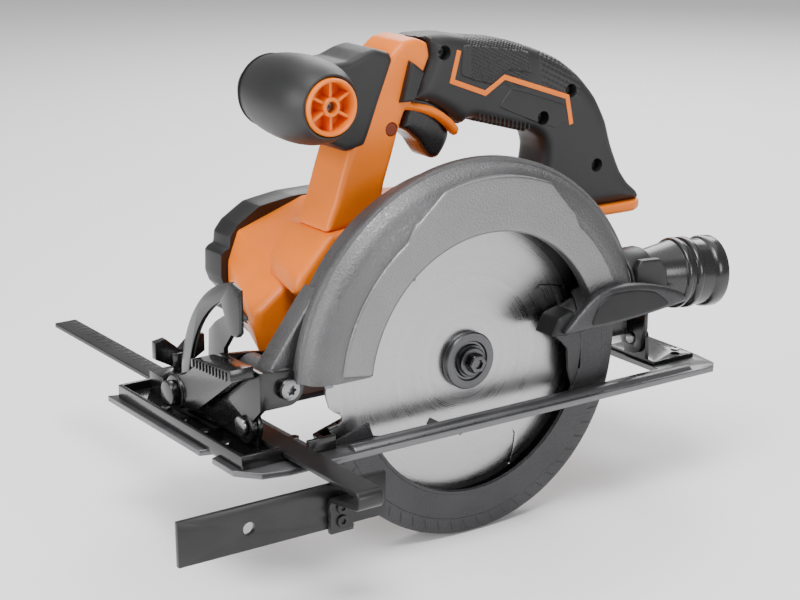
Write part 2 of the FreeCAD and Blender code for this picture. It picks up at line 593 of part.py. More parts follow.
def build_upper_guard():
    """The cast upper guard: a half round shell with a beaded rim, its pivot barrel and its dust chute."""
    profile = [
        ("upper_near", "upper_inner"), ("upper_near", f"{UPPER_INSIDE} - 4"), ("upper_near + 2", f"{UPPER_INSIDE} + 2.5"),
        ("upper_near + 6", f"{UPPER_OUTSIDE} + 3"), ("upper_near + 9", f"{UPPER_OUTSIDE} + 4.5"),
        ("upper_near + 10", f"{UPPER_OUTSIDE} + upper_rim"), ("upper_near + 15", f"{UPPER_OUTSIDE} + upper_rim"),
        ("upper_near + 16", f"{UPPER_OUTSIDE} + 1"), ("upper_far", UPPER_OUTSIDE),
        ("upper_far", "nose_radius + seat_gap"), ("upper_far - upper_sheet", "nose_radius + seat_gap"),
        ("upper_far - upper_sheet", UPPER_INSIDE), ("upper_near + upper_sheet + 4", UPPER_INSIDE),
        ("upper_near + upper_sheet", f"{UPPER_INSIDE} - 5"), ("upper_near + upper_sheet", "upper_inner"),
    ]
    shell = turned("guard_shell", "Y", profile, (0, "arbor_height"))
    front_cut = box("guard_front_cut", (-150, 0), (-50, 50), (-120, "upper_front_edge"))
    rear_cut = box("guard_rear_cut", (-1, 150), (-50, 50), (-120, "upper_rear_edge"))
    dome = cut("guard_dome", shell, front_cut, rear_cut)
    back = box("guard_back", (-45, "depth_x + depth_arc + 12"), ("upper_far - upper_sheet", "upper_far"),
               (8, "upper_rear_edge + 4"))
    barrel_y = ("yoke_near + sheet + face_gap", "yoke_far - sheet - face_gap")
    barrel = rod("guard_barrel", "Y", "barrel_radius", *barrel_y, DEPTH)
    flank = plate("guard_flank", "XZ", [("depth_x - barrel_radius", "depth_z + 2"), polar(ARBOR, UPPER_OUTSIDE, 150),
                                        polar(ARBOR, f"{UPPER_INSIDE} + 1", 150),
                                        (f"-({UPPER_INSIDE}) - 0.5", "depth_z + 1"),
                                        ("depth_x + 6", "depth_z - 6")], 0, "upper_far")
    chute_at = (2, "arbor_height + 24")
    chute = rod("guard_chute", "X", 14.5, 80, 113, chute_at)
    room = rod("guard_room", "Y", UPPER_INSIDE, "upper_near + 4", "upper_far - upper_sheet", ARBOR)
    solid = union("guard_solid", dome, back, barrel, flank, cut("guard_chute_outside", chute, room))
    ear_room = rod("guard_ear_room", "Y", "ear_radius + 1.5", "upper_near - 5", "yoke_near + sheet + face_gap", DEPTH)
    tools = [ear_room,
             rod("guard_nose_hole", "Y", "nose_radius + seat_gap", 0, 50, ARBOR),
             rod("guard_pivot_hole", "Y", "depth_pin + running_gap", -20, 50, DEPTH),
             rod("guard_chute_bore", "X", 11.5, 84, 120, chute_at),
             rod("guard_lock_hole", "Y", "depth_bolt + seat_gap", 0, 50, ("depth_x + depth_arc", "depth_z"))]
    for number, spot in enumerate(guard_screw_spots()):
        tools.append(rod(f"guard_screw_hole_{number}", "Y", "2 + seat_gap", 0, 50, spot))
        tools.append(cone(f"guard_screw_sink_{number}", "Y", 4.2, 2, "upper_far - upper_sheet", "upper_far - 0.6", spot))
    finished("upper_guard", cut("guard", solid, *tools))

    screws = []
    for number, spot in enumerate(guard_screw_spots()):
        head = cone(f"guard_screw_head_{number}", "Y", 4.1, 1.9, "upper_far - upper_sheet + 0.1", "upper_far - 0.6", spot)
        shank = rod(f"guard_screw_shank_{number}", "Y", 1.9, "upper_far - 1.5", "upper_far + 6", spot)
        screws.append(union(f"guard_screw_{number}", head, shank))
    finished("guard_screws", group("guard_screws_group", *screws))


def guard_screw_spots():
    return [polar(ARBOR, "gear_module * gear_teeth / 2 + 5.5", angle) for angle in (12, 85, 190)]


def case_outline(name, grow, low, high):
    """The gear case's plan: a round about the arbor joined to one about the motor axis."""
    big = f"gear_module * (gear_teeth / 2 + 1.4) + {grow}"
    small = f"gear_module * (pinion_teeth / 2 + 6) + {grow}"
    corners = hull_outline(ARBOR, MOTOR, big, small, "motor_angle")
    return union(name, rod(name + "_big", "Y", big, low, high, ARBOR),
                 rod(name + "_small", "Y", small, low, high, MOTOR),
                 plate(name + "_waist", "XZ", corners, low, high))


def build_gear_case():
    """Gear case and cover, with the bearing nose that carries the lower guard."""
    rear = "gear_front + gear_width + 1"
    outside = case_outline("case_outside", "case_wall", "upper_far", rear)
    inside = case_outline("case_inside", "0", "upper_far + 2", f"{rear} + 1")
    nose = rod("case_nose", "Y", "nose_radius", "nose_front", "upper_far + 1", ARBOR)
    bosses = [rod(f"case_boss_{n}", "Y", 4.2, "upper_far", rear, spot) for n, spot in enumerate(guard_screw_spots())]
    bearing_back = "nose_front + 1.4 + front_bearing_width"
    tools = [inside,
             rod("case_bearing_seat", "Y", "front_bearing_radius + seat_gap", "nose_front + 1.4", 50, ARBOR),
             rod("case_spindle_hole", "Y", "spindle_radius + 1", 0, 50, ARBOR),
             ring("case_groove", "Y", "nose_radius + 1", "nose_radius - 1", "nose_front + 0.5", "nose_front + 1.5", ARBOR),
             rod("case_lock_bore", "X", "2.5 + running_gap", 0, 60, ("gear_front + gear_width / 2", "arbor_height + 12"))]
    tools += [rod(f"case_screw_hole_{n}", "Y", "1.9 + seat_gap", 0, 50, spot)
              for n, spot in enumerate(guard_screw_spots())]
    finished("gear_case", cut("case", union("case_solid", outside, nose, *bosses), *tools))

    finished("spindle_front_bearing", ring("front_bearing", "Y", "front_bearing_radius", "spindle_radius + running_gap",
                                           "nose_front + 1.4", bearing_back, ARBOR))
    ring_y = ("nose_front + 0.55", "nose_front + 1.45")
    finished("guard_retaining_ring", ring("retaining", "Y", "nose_radius + 3", "nose_radius - 0.9", *ring_y, ARBOR))
    spring_middle = "(lower_far + upper_far - upper_sheet) / 2"
    finished("guard_spring", ring("spring", "Y", "nose_radius + 4", "nose_radius + 1.2", f"{spring_middle} - 0.7",
                                  f"{spring_middle} + 0.7", ARBOR))

    plate_y = (rear, f"{rear} + 2.6")
    seat_y = (plate_y[1], f"{plate_y[1]} + rear_bearing_width")
    outside = case_outline("cover_outside", "case_wall", *plate_y)
    solid = union("cover_solid", outside, rod("cover_boss", "Y", "rear_bearing_radius + 2.5", rear, f"{seat_y[1]} + 2", ARBOR),
                  rod("cover_motor_boss", "Y", 11.5, rear, f"{plate_y[1]} + 6", MOTOR))
    finished("gear_cover", cut("cover", solid,
                               rod("cover_seat", "Y", "rear_bearing_radius + seat_gap", f"{rear} - 1", seat_y[1], ARBOR),
                               rod("cover_motor_hole", "Y", "pinion_teeth * gear_module / 2 + 2", 0, 60, MOTOR),
                               rod("cover_motor_seat", "Y", "9.5 + seat_gap", plate_y[1], 60, MOTOR)))
    finished("spindle_rear_bearing", ring("rear_bearing", "Y", "rear_bearing_radius", "spindle_tail + running_gap",
                                          *seat_y, ARBOR))


def build_blade_train():
    """Spindle, gear, flanges, blade and its bolt: everything that turns with the blade."""
    half = "blade_plate / 2"
    rear = "gear_front + gear_width + 1"
    spindle = turned("spindle_turned", "Y", [
        (f"-{half} + 0.1", 0), (f"-{half} + 0.1", "blade_bore - running_gap"), (half, "blade_bore - running_gap"),
        (half, 8), ("nose_front - 0.4", 8), ("nose_front - 0.4", "spindle_radius"), (f"{rear} + 2", "spindle_radius"),
        (f"{rear} + 2", "spindle_tail"), (f"{rear} + 2.6 + rear_bearing_width - 0.3", "spindle_tail"),
        (f"{rear} + 2.6 + rear_bearing_width - 0.3", 0)], (0, "arbor_height"))
    thread = rod("spindle_thread", "Y", "blade_bolt_radius + seat_gap", -5, "blade_bolt_reach + 0.5", ARBOR)
    finished("spindle", cut("spindle_bored", spindle, thread))

    module = at.gear_module
    gear = toothed_disc(int(at.gear_teeth), module * (at.gear_teeth / 2 + 0.8), module * (at.gear_teeth / 2 - 1.1),
                        0.12, at.gear_width, at.spindle_radius + at.seat_gap)
    gear = raw("gear_wheel", gear)
    gear.Placement = Placement(Vector(), Rotation(Vector(0, 1, 0), -at.motor_angle))
    place(gear, 0, "gear_front", "arbor_height")
    finished("drive_gear", gear)

    turn = 2 * math.pi / at.tooth_count
    points = []
    for tooth in range(int(at.tooth_count)):
        for radius, share in ((0, 0.0), (1.6, 0.5), (at.tooth_height, 0.72), (at.tooth_height, 0.86), (2.5, 0.97)):
            angle = (tooth + share) * turn
            reach = at.blade_radius - radius
            points.append(Vector(reach * math.cos(angle), 0, reach * math.sin(angle)))
    disc = Part.Face(Part.makePolygon(points + points[:1])).extrude(Vector(0, at.blade_plate, 0))
    disc = disc.cut(Part.makeCylinder(at.blade_bore, at.blade_plate, Vector(), Vector(0, 1, 0)))
    finished("blade", place(raw("blade_disc", disc), 0, f"-{half}", "arbor_height"))

    finished("inner_flange", ring("inner_flange_ring", "Y", "inner_flange_radius", "8 + seat_gap", half,
                                  f"{half} + inner_flange_width", ARBOR))
    finished("outer_flange", turned("outer_flange_turned", "Y", [
        (f"-{half}", "blade_bolt_radius + 0.3"), (f"-{half}", "outer_flange_radius"),
        (f"-{half} - 1.4", "outer_flange_radius"), (f"-{half} - outer_flange_width", "outer_flange_radius - 3"),
        (f"-{half} - outer_flange_width", "blade_bolt_radius + 0.3")], (0, "arbor_height")))
    face = f"-{half} - outer_flange_width"
    bolt = union("blade_bolt_solid", rod("blade_bolt_collar", "Y", "blade_bolt_head", f"{face} - 2", face, ARBOR),
                 rod("blade_bolt_cap", "Y", "blade_bolt_head - 1.8", f"{face} - 6.3", f"{face} - 2", ARBOR),
                 rod("blade_bolt_shank", "Y", "blade_bolt_radius", face, "blade_bolt_reach", ARBOR))
    finished("blade_bolt", cut("blade_bolt_cut", bolt, rod("blade_bolt_socket", "Y", 3, f"{face} - 7", f"{face} - 2.5", ARBOR)))


def build_lower_guard():
    """The swinging lower guard and its lever."""
    outline = [
        ("lower_near", "lower_inner"), ("lower_near", f"{LOWER_OUTER} - 1"), ("lower_near + 1", LOWER_OUTER),
        ("lower_far", LOWER_OUTER), ("lower_far", "nose_radius + running_gap"),
        ("lower_far - lower_sheet", "nose_radius + running_gap"), ("lower_far - lower_sheet", f"{LOWER_OUTER} - lower_wall"),
        ("lower_near + lower_sheet", f"{LOWER_OUTER} - lower_wall"), ("lower_near + lower_sheet", "lower_inner"),
    ]
    drum = turned("lower_drum", "Y", outline, (0, "arbor_height"))
    hub = rod("lower_hub_keep", "Y", "nose_radius + 5", "lower_far - lower_sheet - 1", 20, ARBOR)
    reach = f"1.5 * ({LOWER_OUTER})"
    mouth = [polar(ARBOR, reach, angle) for angle in ("lower_rear_end", "(lower_rear_end + 90) / 2", 90, 140,
                                                     "lower_front_end")] + [ARBOR]
    opening = cut("lower_mouth_clear", plate("lower_mouth", "XZ", mouth, "lower_near - 5", "lower_far + 5"), hub)
    web = ring_arc("lower_web", "Y", ARBOR, ("lower_inner + 1", 41), ("-12", "lower_rear_end"), "lower_near",
                   "lower_near + lower_sheet")
    finished("lower_guard", cut("lower", union("lower_solid", drum, web), opening))

    block = [(36, "arbor_height + 10"), (48, "arbor_height + 9"), (53, "arbor_height + 15"), (50, "arbor_height + 21.5"),
             (41, "arbor_height + 19")]
    arm = [(42, 39), (56, 39), (87, 40), (109, 42), (122, 43), (119, 48), (107, 53), (95, 57), (82, 58.5), (69, 58.5),
           (57, 53), (48, 45.5)]
    solid = union("guard_lever_solid", plate("lever_block", "XZ", block, "upper_near - 4", "lower_near"),
                  plate("lever_arm", "XZ", arm, "upper_near - 9", "upper_near - 1.5"))
    finished("guard_lever", solid)


def build_motor():
    """Motor, fan, pinion shaft, electronics, housing and end cap."""
    rear = "gear_front + gear_width + 1"
    bearing_y = (f"{rear} + 2.6", f"{rear} + 8.6")
    fan_y = (f"{rear} + 13", f"{rear} + 20")
    core_y = (f"{rear} + 27", f"{rear} + 62")
    module = at.gear_module
    pinion = toothed_disc(int(at.pinion_teeth), module * (at.pinion_teeth / 2 + 0.8),
                          module * (at.pinion_teeth / 2 - 1.1), 0.12, at.gear_width, 0.5)
    pinion = raw("pinion", pinion)
    half_pitch = 180 / at.pinion_teeth
    pinion.Placement = Placement(Vector(), Rotation(Vector(0, 1, 0), -(at.motor_angle + 180 + half_pitch)))
    place(pinion, MOTOR[0], "gear_front", MOTOR[1])
    shaft = rod("motor_shaft", "Y", 3, "gear_front - 0.5", "housing_far + 6", MOTOR)
    finished("pinion_shaft", union("pinion_shaft_solid", pinion, shaft))
    finished("rotor_core", ring("rotor", "Y", "motor_radius / 2", "3 + seat_gap", *core_y, MOTOR))
    fan_blades = [ring("fan_disc", "Y", "motor_radius - 3", "3 + seat_gap", f"{fan_y[1]} - 1.6", fan_y[1], MOTOR),
                  ring("fan_hub", "Y", 7, "3 + seat_gap", *fan_y, MOTOR)]
    for number in range(12):
        angle = 30 * number
        start, end = polar(MOTOR, 6, angle), polar(MOTOR, "motor_radius - 3.5", angle + 14)
        side, far_side = polar(MOTOR, 6, angle + 12), polar(MOTOR, "motor_radius - 3.5", angle + 18)
        fan_blades.append(plate(f"fan_vane_{number}", "XZ", [start, end, far_side, side], *fan_y))
    finished("fan", union("fan_solid", *fan_blades))
    stator = ring("stator_ring", "Y", "motor_radius", "motor_radius / 2 + 4", *core_y, MOTOR)
    teeth = []
    for number in range(6):
        angle = 60 * number
        corners = [polar(MOTOR, "motor_radius / 2 + 0.6", angle - 22), polar(MOTOR, "motor_radius - 2", angle - 8),
                   polar(MOTOR, "motor_radius - 2", angle + 8), polar(MOTOR, "motor_radius / 2 + 0.6", angle + 22)]
        teeth.append(plate(f"stator_tooth_{number}", "XZ", corners, *core_y))
    air_gap = rod("stator_air_gap", "Y", "motor_radius / 2 + 0.4", *core_y, MOTOR)
    finished("stator", cut("stator_bored", union("stator_solid", stator, *teeth), air_gap))
    bearings = [ring("motor_bearing_near", "Y", 9.5, "3 + running_gap", *bearing_y, MOTOR),
                ring("motor_bearing_far", "Y", 8, "3 + running_gap", "housing_far", "housing_far + 5", MOTOR)]
    finished("motor_bearings", group("motor_bearings_group", *bearings))

    shoulder = [(-64, 96), (-80, 77), (-84, 66), (-60, 64), (22, 64), (24, 84), (10, 98), (-30, 100)]
    main = [(-64, 96), (-80, 77), (-94, 58), (-94, 48), (-88, 35), (-68, 22), (-45, 17), (2, 17), (16, 30), (24, 60),
            (24, 84), (10, 98), (-30, 100)]
    near = "handle_y - handle_half - 3"
    step = "yoke_far + 12"
    front = shelled("housing_front", shoulder, near, step, "shell_wall", "high")
    trunk = shelled("housing_trunk", main, step, "housing_far", "shell_wall", "high")
    shroud = rod("housing_shroud", "Y", "motor_radius + 1.6 + shell_wall", f"{rear} + 3.4", f"{step} + 1", MOTOR)
    room = rod("housing_room", "Y", "motor_radius + 1.6", f"{rear} + 2", f"{step} + 20", MOTOR)
    case_room = case_outline("housing_case_room", "case_wall + 0.6", "upper_far", f"{rear} + 3.2")
    boss_room = rod("housing_boss_room", "Y", "rear_bearing_radius + 3.2", rear, f"{rear} + 13", ARBOR)
    inner_room = plate("housing_inner_room", "XZ", [(-78, 75), (-62, 93), (-30, 97), (9, 95), (20, 83), (20, 68)],
                       f"{step} - 3", f"{step} + 4")
    solid = union("housing_solid", front, trunk, shroud)
    finished("motor_housing", cut("housing", solid, room, case_room, boss_room, inner_room))

    cap = [(-86, 56), (-86, 73), (-66, 94), (-50, 97), (-10, 97), (12, 82), (18, 55), (8, 28), (-10, 18.5), (-50, 18.5),
           (-66, 31), (-79, 46)]
    shell = shelled("cap_blank", cap, "housing_far", "cap_far", "shell_wall", "low")
    boss = rod("cap_boss", "Y", 10.5, "housing_far", "cap_far - 1", MOTOR)
    seat = rod("cap_seat", "Y", "8 + seat_gap", "housing_far - 1", "housing_far + 7", MOTOR)
    finished("motor_end_cap", cut("cap", union("cap_solid", shell, boss), seat))

    board = box("board_card", ("shell_wall - 93.8", -56), ("housing_far - 45", "housing_far - 8"), (50, 52))
    chips = box("board_chips", (-80, -60), ("housing_far - 40", "housing_far - 14"), (52, 60))
    finished("control_board", union("control_board_solid", board, chips))
    spots = [(-74, 52), (10, 40), (6, 84)]
    screws = []
    for number, spot in enumerate(spots):
        screws.append(union(f"housing_screw_{number}",
                            rod(f"housing_screw_head_{number}", "Y", 3.6, "cap_far", "cap_far + 1.4", spot),
                            rod(f"housing_screw_shank_{number}", "Y", 1.8, "cap_far - 2", "cap_far", spot)))
    holes = [rod(f"cap_screw_hole_{n}", "Y", "1.8 + seat_gap", "cap_far - 6", "cap_far + 6", spot)
             for n, spot in enumerate(spots)]
    finished("motor_end_cap", cut("cap_drilled", nodes["motor_end_cap"], *holes))
    finished("housing_screws", group("housing_screws_group", *screws))


HANDLE = [
    (-62, 96.35), (-55, 120), (-51, 131), (-41, 154), (-31, 169), (-24, 178), (-14, 184), (8, 184.5), (24, 181), (44, 179),
    (63, 173), (79, 166), (92, 155), (103, 144), (110, 131), (115, 117), (124, 102.5), (132, 94.5), (137, 88),
    (137, 85), (56, 85), (44, 78), (26, 78), (24.2, 84.1), (10.1, 98.1), (-30, 100.1),
]
LOOP = [
    (-30, 115), (-26, 126.6), (-21, 142), (-17.5, 150.5), (-11, 149.5), (-4, 147), (3, 143.5), (8, 139.5), (11.5, 135.2),
    (14.5, 135.5), (21, 141.4), (31, 139.3), (49.4, 133.7), (61.5, 129.6), (66, 125.5), (67.2, 120), (63, 106),
    (-8, 106), (-27, 108),
]
TRIGGER = [
    (-13.4, 146), (-15.5, 140.5), (-10.9, 137.3), (-5.3, 132.4), (-1.2, 126.3), (1, 123.5), (2.9, 122.7), (6.5, 123.1),
    (10.2, 127.8), (12.8, 133), (12.8, 146), (4, 158.5), (-9, 158.5), (-12, 154),
]


def build_handle():
    """The clamshell handle, battery seat, trigger, switch and lock-off button."""
    near, far = "handle_y - handle_half", "handle_y + handle_half"
    trigger_slot = (-16, 17)
    paddle = [(-21.5, 155), (-14.5, 155), (-8.8, 168.5), (-16, 174)]
    paddle_hole = [(-22, 154.7), (-14.3, 154.7), (-8.4, 168.7), (-16.1, 174.5)]
    pivot = (-3, 155)
    spots = [(5, 176), (84, 149), (66, 137), (102, 108), (-26, 142)]
    for name, side, open_end in (("handle_left", (near, "handle_y"), "high"),
                                 ("handle_right", ("handle_y", far), "low")):
        half = shelled(name + "_half", HANDLE, *side, "shell_wall", open_end, holes=[LOOP])
        tools = [
            box(name + "_trigger_slot", trigger_slot, ("handle_y - 10", "handle_y + 10"), (118, 153.5)),
            plate(name + "_paddle_hole", "XZ", paddle_hole, "handle_y - 30", "handle_y + 30"),
        ]
        if name == "handle_left":
            tools += [rod(f"{name}_screw_well_{n}", "Y", 3.6, 0, f"{near} + 1.2", spot) for n, spot in enumerate(spots)]
            tools += [rod(f"{name}_screw_hole_{n}", "Y", "1.6 + seat_gap", 0, f"{near} + 6", spot)
                      for n, spot in enumerate(spots)]
        finished(name, cut(name + "_cut", half, *tools))
    screws = []
    for number, spot in enumerate(spots):
        screws.append(union(f"handle_screw_{number}",
                            rod(f"handle_screw_head_{number}", "Y", 3, f"{near} + 0.2", f"{near} + 1.2", spot),
                            rod(f"handle_screw_shank_{number}", "Y", 1.6, f"{near} + 1.2", "handle_y - 1", spot)))
    finished("handle_screws", group("handle_screws_group", *screws))

    seat = [(57, f"{near} + 1"), (126, f"{near} - 2"), (134, f"{near} + 4"), (137.5, "handle_y"), (134, f"{far} - 4"),
            (126, f"{far} + 2"), (57, f"{far} - 1")]
    channel = [(78, "handle_y - 10"), (141, "handle_y - 10"), (141, "handle_y + 10"), (78, "handle_y + 10")]
    seat_z = ("arbor_height + 52", "arbor_height + 56.9")
    seat_blank = plate("seat_blank", "XY", seat, *seat_z)
    finished("battery_seat", cut("seat", seat_blank, plate("seat_channel", "XY", channel, "arbor_height + 51", "arbor_height + 55")))
    blades = [box(f"terminal_{n}", (82, 96), (f"handle_y + {y} - 0.5", f"handle_y + {y} + 0.5"),
                  ("arbor_height + 52", "arbor_height + 55")) for n, y in enumerate((-7, 0, 7))]
    finished("battery_terminals", group("terminals_group", *blades))

    inside = ("handle_y - handle_half + shell_wall + 0.1", "handle_y + handle_half - shell_wall - 0.1")
    finished("switch_module", box("switch_block", (8, 30), inside, (157, 172)))
    trigger = plate("trigger_blank", "XZ", TRIGGER, "handle_y - 9", "handle_y + 9")
    finished("trigger", cut("trigger_bored", trigger, rod("trigger_bore", "Y", "2 + running_gap", 0, 80, pivot)))
    finished("trigger_pin", rod("trigger_pin_rod", "Y", 2, *inside, pivot))
    button = plate("button_block", "XZ", paddle, f"{near} - 2.5", f"{far} - 0.5")
    keep = box("button_keep", (-40, 20), ("handle_y - 11.5", "handle_y + 11.5"), (150, 163))
    finished("lock_off_button", cut("button", button, keep))


def build_auxiliary_handle():
    """The round front grip with its neck, honeycomb end cap and screw."""
    spot = ("egg_x", "egg_z")
    middle = "(egg_near + egg_far) / 2"
    outline = [
        ("egg_near", "egg_cap_radius + 0.2"), ("egg_near", "egg_cap_radius + 1.8"), ("egg_near + 5", "egg_radius - 3.2"),
        ("egg_near + 16", "egg_radius - 0.6"),
        (f"{middle} - 6", "egg_radius"), ("egg_far - 28", "egg_radius - 1.2"), ("egg_far - 14", "egg_radius - 4"),
        ("egg_far - 5", "egg_radius - 8.5"), ("egg_far - 1.2", "egg_radius - 13"), ("egg_far", 0),
        ("egg_near + 12", 0), ("egg_near + 12", "egg_cap_radius + 0.2"),
    ]
    grip = turned("grip_turned", "Y", outline, spot)
    finished("auxiliary_grip", grip)
    near, far = "handle_y - handle_half - 1", "handle_y + handle_half + 1"
    neck = [(-75, 150), (-60, 138), (-54, 133), (-50.75, 132), (-41.2, 154.05), (-31.2, 169.1), (-25.8, 176),
            (-44, 177.5), (-62, 176)]
    around = ring("neck_ring", "Y", "egg_radius + 30", "egg_radius + 0.05", near, far, spot)
    finished("auxiliary_neck", common("neck", plate("neck_blank", "XZ", neck, near, far), around))
    cap_y = ("egg_near - 2", "egg_near + 11")
    cup = cut("cap_cup", rod("cup_outside", "Y", "egg_cap_radius", *cap_y, spot),
              rod("cup_inside", "Y", "egg_cap_radius - 2", "egg_near - 3", "egg_near + 8", spot))
    ribs = []
    for number in range(3):
        rib = Part.makeBox(2 * at.egg_cap_radius - 3, 9, 1.4, Vector(1.5 - at.egg_cap_radius, 0, -0.7))
        rib.rotate(Vector(), Vector(0, 1, 0), 60 * number)
        ribs.append(place(raw(f"cup_rib_{number}", rib), "egg_x", "egg_near - 0.5", "egg_z"))
    tube = rod("cup_tube", "Y", 4.6, "egg_near - 0.5", "egg_near + 9", spot)
    cap = union("cap_solid_orange", cup, tube, *ribs)
    finished("grip_end_cap", cut("grip_cap", cap, rod("cap_screw_well", "Y", "2.8 + seat_gap", "egg_near - 3", "egg_near + 9", spot)))
    finished("grip_screw", rod("grip_screw_head", "Y", 2.8, "egg_near + 4", "egg_near + 9", spot))


def build_nozzle_and_lock():
    """Dust nozzle, spindle lock button."""
    profile = [
        (1, 13), (18.5, "nozzle_radius - 1.4"), (19.5, "nozzle_radius"), (22.5, "nozzle_radius"),
        (23.5, "nozzle_radius - 1.1"), (25, "nozzle_radius - 1.1"), (26, "nozzle_radius + 0.3"),
        (29, "nozzle_radius + 0.3"), (30, "nozzle_radius - 1"), ("nozzle_length - 8", "nozzle_radius - 1"),
        ("nozzle_length - 7", "nozzle_radius + 0.3"), ("nozzle_length - 1", "nozzle_radius + 0.4"),
        ("nozzle_length", "nozzle_radius - 0.6"), ("nozzle_length", "nozzle_bore"), (19, "nozzle_bore"),
    ]
    nozzle = turned("nozzle_turned", "X", [(-3, 11.6), (-3, 13), *profile])
    nozzle.Placement = Placement(Vector(), Rotation(Vector(0, 0, 1), -7) * Rotation(Vector(0, 1, 0), 4))
    place(nozzle, 113.2, 2, "arbor_height + 24")
    chute_room = box("nozzle_chute_room", (90, 113.1), (-30, 40), (0, 100))
    finished("dust_nozzle", cut("nozzle", nozzle, chute_room))
    y, z = "gear_front + gear_width / 2", "arbor_height + 12"
    tip = "gear_module * (gear_teeth / 2 + 0.8) + 1.6"
    head = "gear_module * gear_teeth / 2 + 10.2"
    finished("spindle_lock", union("spindle_lock_solid", rod("lock_pin", "X", 2.5, tip, head, (y, z)),
                                   rod("lock_head", "X", 5.5, head, f"{head} + 3.4", (y, z))))


def check_and_export():
    """Recompute, refuse anything failed or empty, and write one STEP file per sub-part."""
    doc.recompute()
    failed = [thing.Name for thing in doc.Objects if {"Invalid", "Error"} & set(thing.State)]
    broken = [name for name, thing in nodes.items() if thing.Shape.isNull() or not thing.Shape.isValid()]
    if failed or broken:
        raise SystemExit(f"failed objects: {failed}; broken shapes: {broken}")
    os.makedirs("parts", exist_ok=True)
    for name, thing in nodes.items():
        thing.Shape.exportStep(f"parts/{name}.step")
        print(f"{name}: {len(thing.Shape.Solids)} solids, {thing.Shape.Volume / 1000:.2f} cm3")


build_sole()
build_fence()
build_bevel_frame()
build_locks()
build_upper_guard()
build_gear_case()
build_blade_train()
build_lower_guard()
build_motor()
build_handle()
build_auxiliary_handle()
build_nozzle_and_lock()
check_and_export()
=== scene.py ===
"""Looks of a cordless circular saw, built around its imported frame.

Every outline is in millimetres in the saw's own frame: +X to the rear, -Y to the blade side, +Z up, with the
origin on the sole's plane below the arbor. Meshes are made in metres, with their places in their vertices.
"""
from __future__ import annotations

import logging
import math
from dataclasses import dataclass, field
from enum import Enum

import bmesh
import bpy
import numpy as np
from mathutils import Matrix, Vector
from mathutils.geometry import delaunay_2d_cdt

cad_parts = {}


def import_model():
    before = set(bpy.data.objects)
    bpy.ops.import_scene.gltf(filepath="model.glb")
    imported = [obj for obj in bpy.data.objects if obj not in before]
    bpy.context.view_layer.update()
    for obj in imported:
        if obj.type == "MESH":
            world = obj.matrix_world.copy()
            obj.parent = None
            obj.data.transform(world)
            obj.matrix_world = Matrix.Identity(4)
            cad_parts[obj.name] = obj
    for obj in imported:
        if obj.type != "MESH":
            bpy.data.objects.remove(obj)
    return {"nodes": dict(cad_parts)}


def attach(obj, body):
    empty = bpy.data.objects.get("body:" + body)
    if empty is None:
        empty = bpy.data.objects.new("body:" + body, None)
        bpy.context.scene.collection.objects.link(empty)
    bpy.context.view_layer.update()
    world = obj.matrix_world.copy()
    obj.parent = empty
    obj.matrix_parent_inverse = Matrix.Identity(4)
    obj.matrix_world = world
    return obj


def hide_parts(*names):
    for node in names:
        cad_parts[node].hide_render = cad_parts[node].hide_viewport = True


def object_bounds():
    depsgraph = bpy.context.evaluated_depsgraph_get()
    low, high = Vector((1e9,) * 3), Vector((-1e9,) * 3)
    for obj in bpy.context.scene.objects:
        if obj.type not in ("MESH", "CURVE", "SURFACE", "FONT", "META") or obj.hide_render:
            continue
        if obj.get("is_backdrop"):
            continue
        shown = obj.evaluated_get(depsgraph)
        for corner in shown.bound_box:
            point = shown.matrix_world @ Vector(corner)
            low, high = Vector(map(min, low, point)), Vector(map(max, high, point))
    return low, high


log = logging.getLogger("saw")
nodes: dict[str, bpy.types.Object] = {}
MM = 0.001
ARBOR = (0.0, 28.0)
DEPTH_PIVOT = (-105, 34.5)
TO_BLADE = (90, 0, 0)
TO_FAR_SIDE = (-90, 0, 0)
Pair = tuple[float, float]
Triple = tuple[float, float, float]
Thing = bpy.types.Object


class Axis(Enum):
    """The axis that a turned piece or a round feature lies along."""

    X = "X"
    Y = "Y"
    Z = "Z"


class Pattern(Enum):
    """What a finish shows besides its fine grain."""

    PLAIN = "plain"
    TURNED = "turned about the arbor"
    ROLLED = "rolled along the sole"
    KNURLED = "knurled grip"
    CAST = "cast skin"


# ---------------------------------------------------------------- shader maths


class Link:
    """A shader socket whose maths is written as Python expressions."""

    def __init__(self, maker: "Shader", socket: bpy.types.NodeSocket) -> None:
        """Keep the socket and the shader that it belongs to."""
        self.maker = maker
        self.socket = socket

    def maths(self, operation: str, *others: "Link | float", clamp: bool = False) -> "Link":
        """Add a Math node after this socket.

        Args:
            operation: the Math node's operation.
            others: its other operands.
            clamp: whether the result stays between 0 and 1.

        Returns:
            The Math node's result.
        """
        values = dict(enumerate((self, *others)))
        return self.maker.node("ShaderNodeMath", {"operation": operation, "use_clamp": clamp}, values)

    def __add__(self, other: "Link | float") -> "Link":
        """Sum."""
        return self.maths("ADD", other)

    def __sub__(self, other: "Link | float") -> "Link":
        """Difference."""
        return self.maths("SUBTRACT", other)

    def __rsub__(self, other: float) -> "Link":
        """Difference from a number."""
        return self.maker.node("ShaderNodeMath", {"operation": "SUBTRACT"}, {0: other, 1: self})

    def __mul__(self, other: "Link | float") -> "Link":
        """Product."""
        return self.maths("MULTIPLY", other)

    def __truediv__(self, other: "Link | float") -> "Link":
        """Quotient."""
        return self.maths("DIVIDE", other)

    def __pow__(self, other: "Link | float") -> "Link":
        """Power."""
        return self.maths("POWER", other)

    __radd__ = __add__
    __rmul__ = __mul__

    def band(self, low: float, high: float, soft: float) -> "Link":
        """A mask that is 1 between two values and fades over a soft edge."""
        rise = self.maker.fade(self, low - soft, low + soft)
        fall = self.maker.fade(self, high - soft, high + soft)
        return rise * (1 - fall)


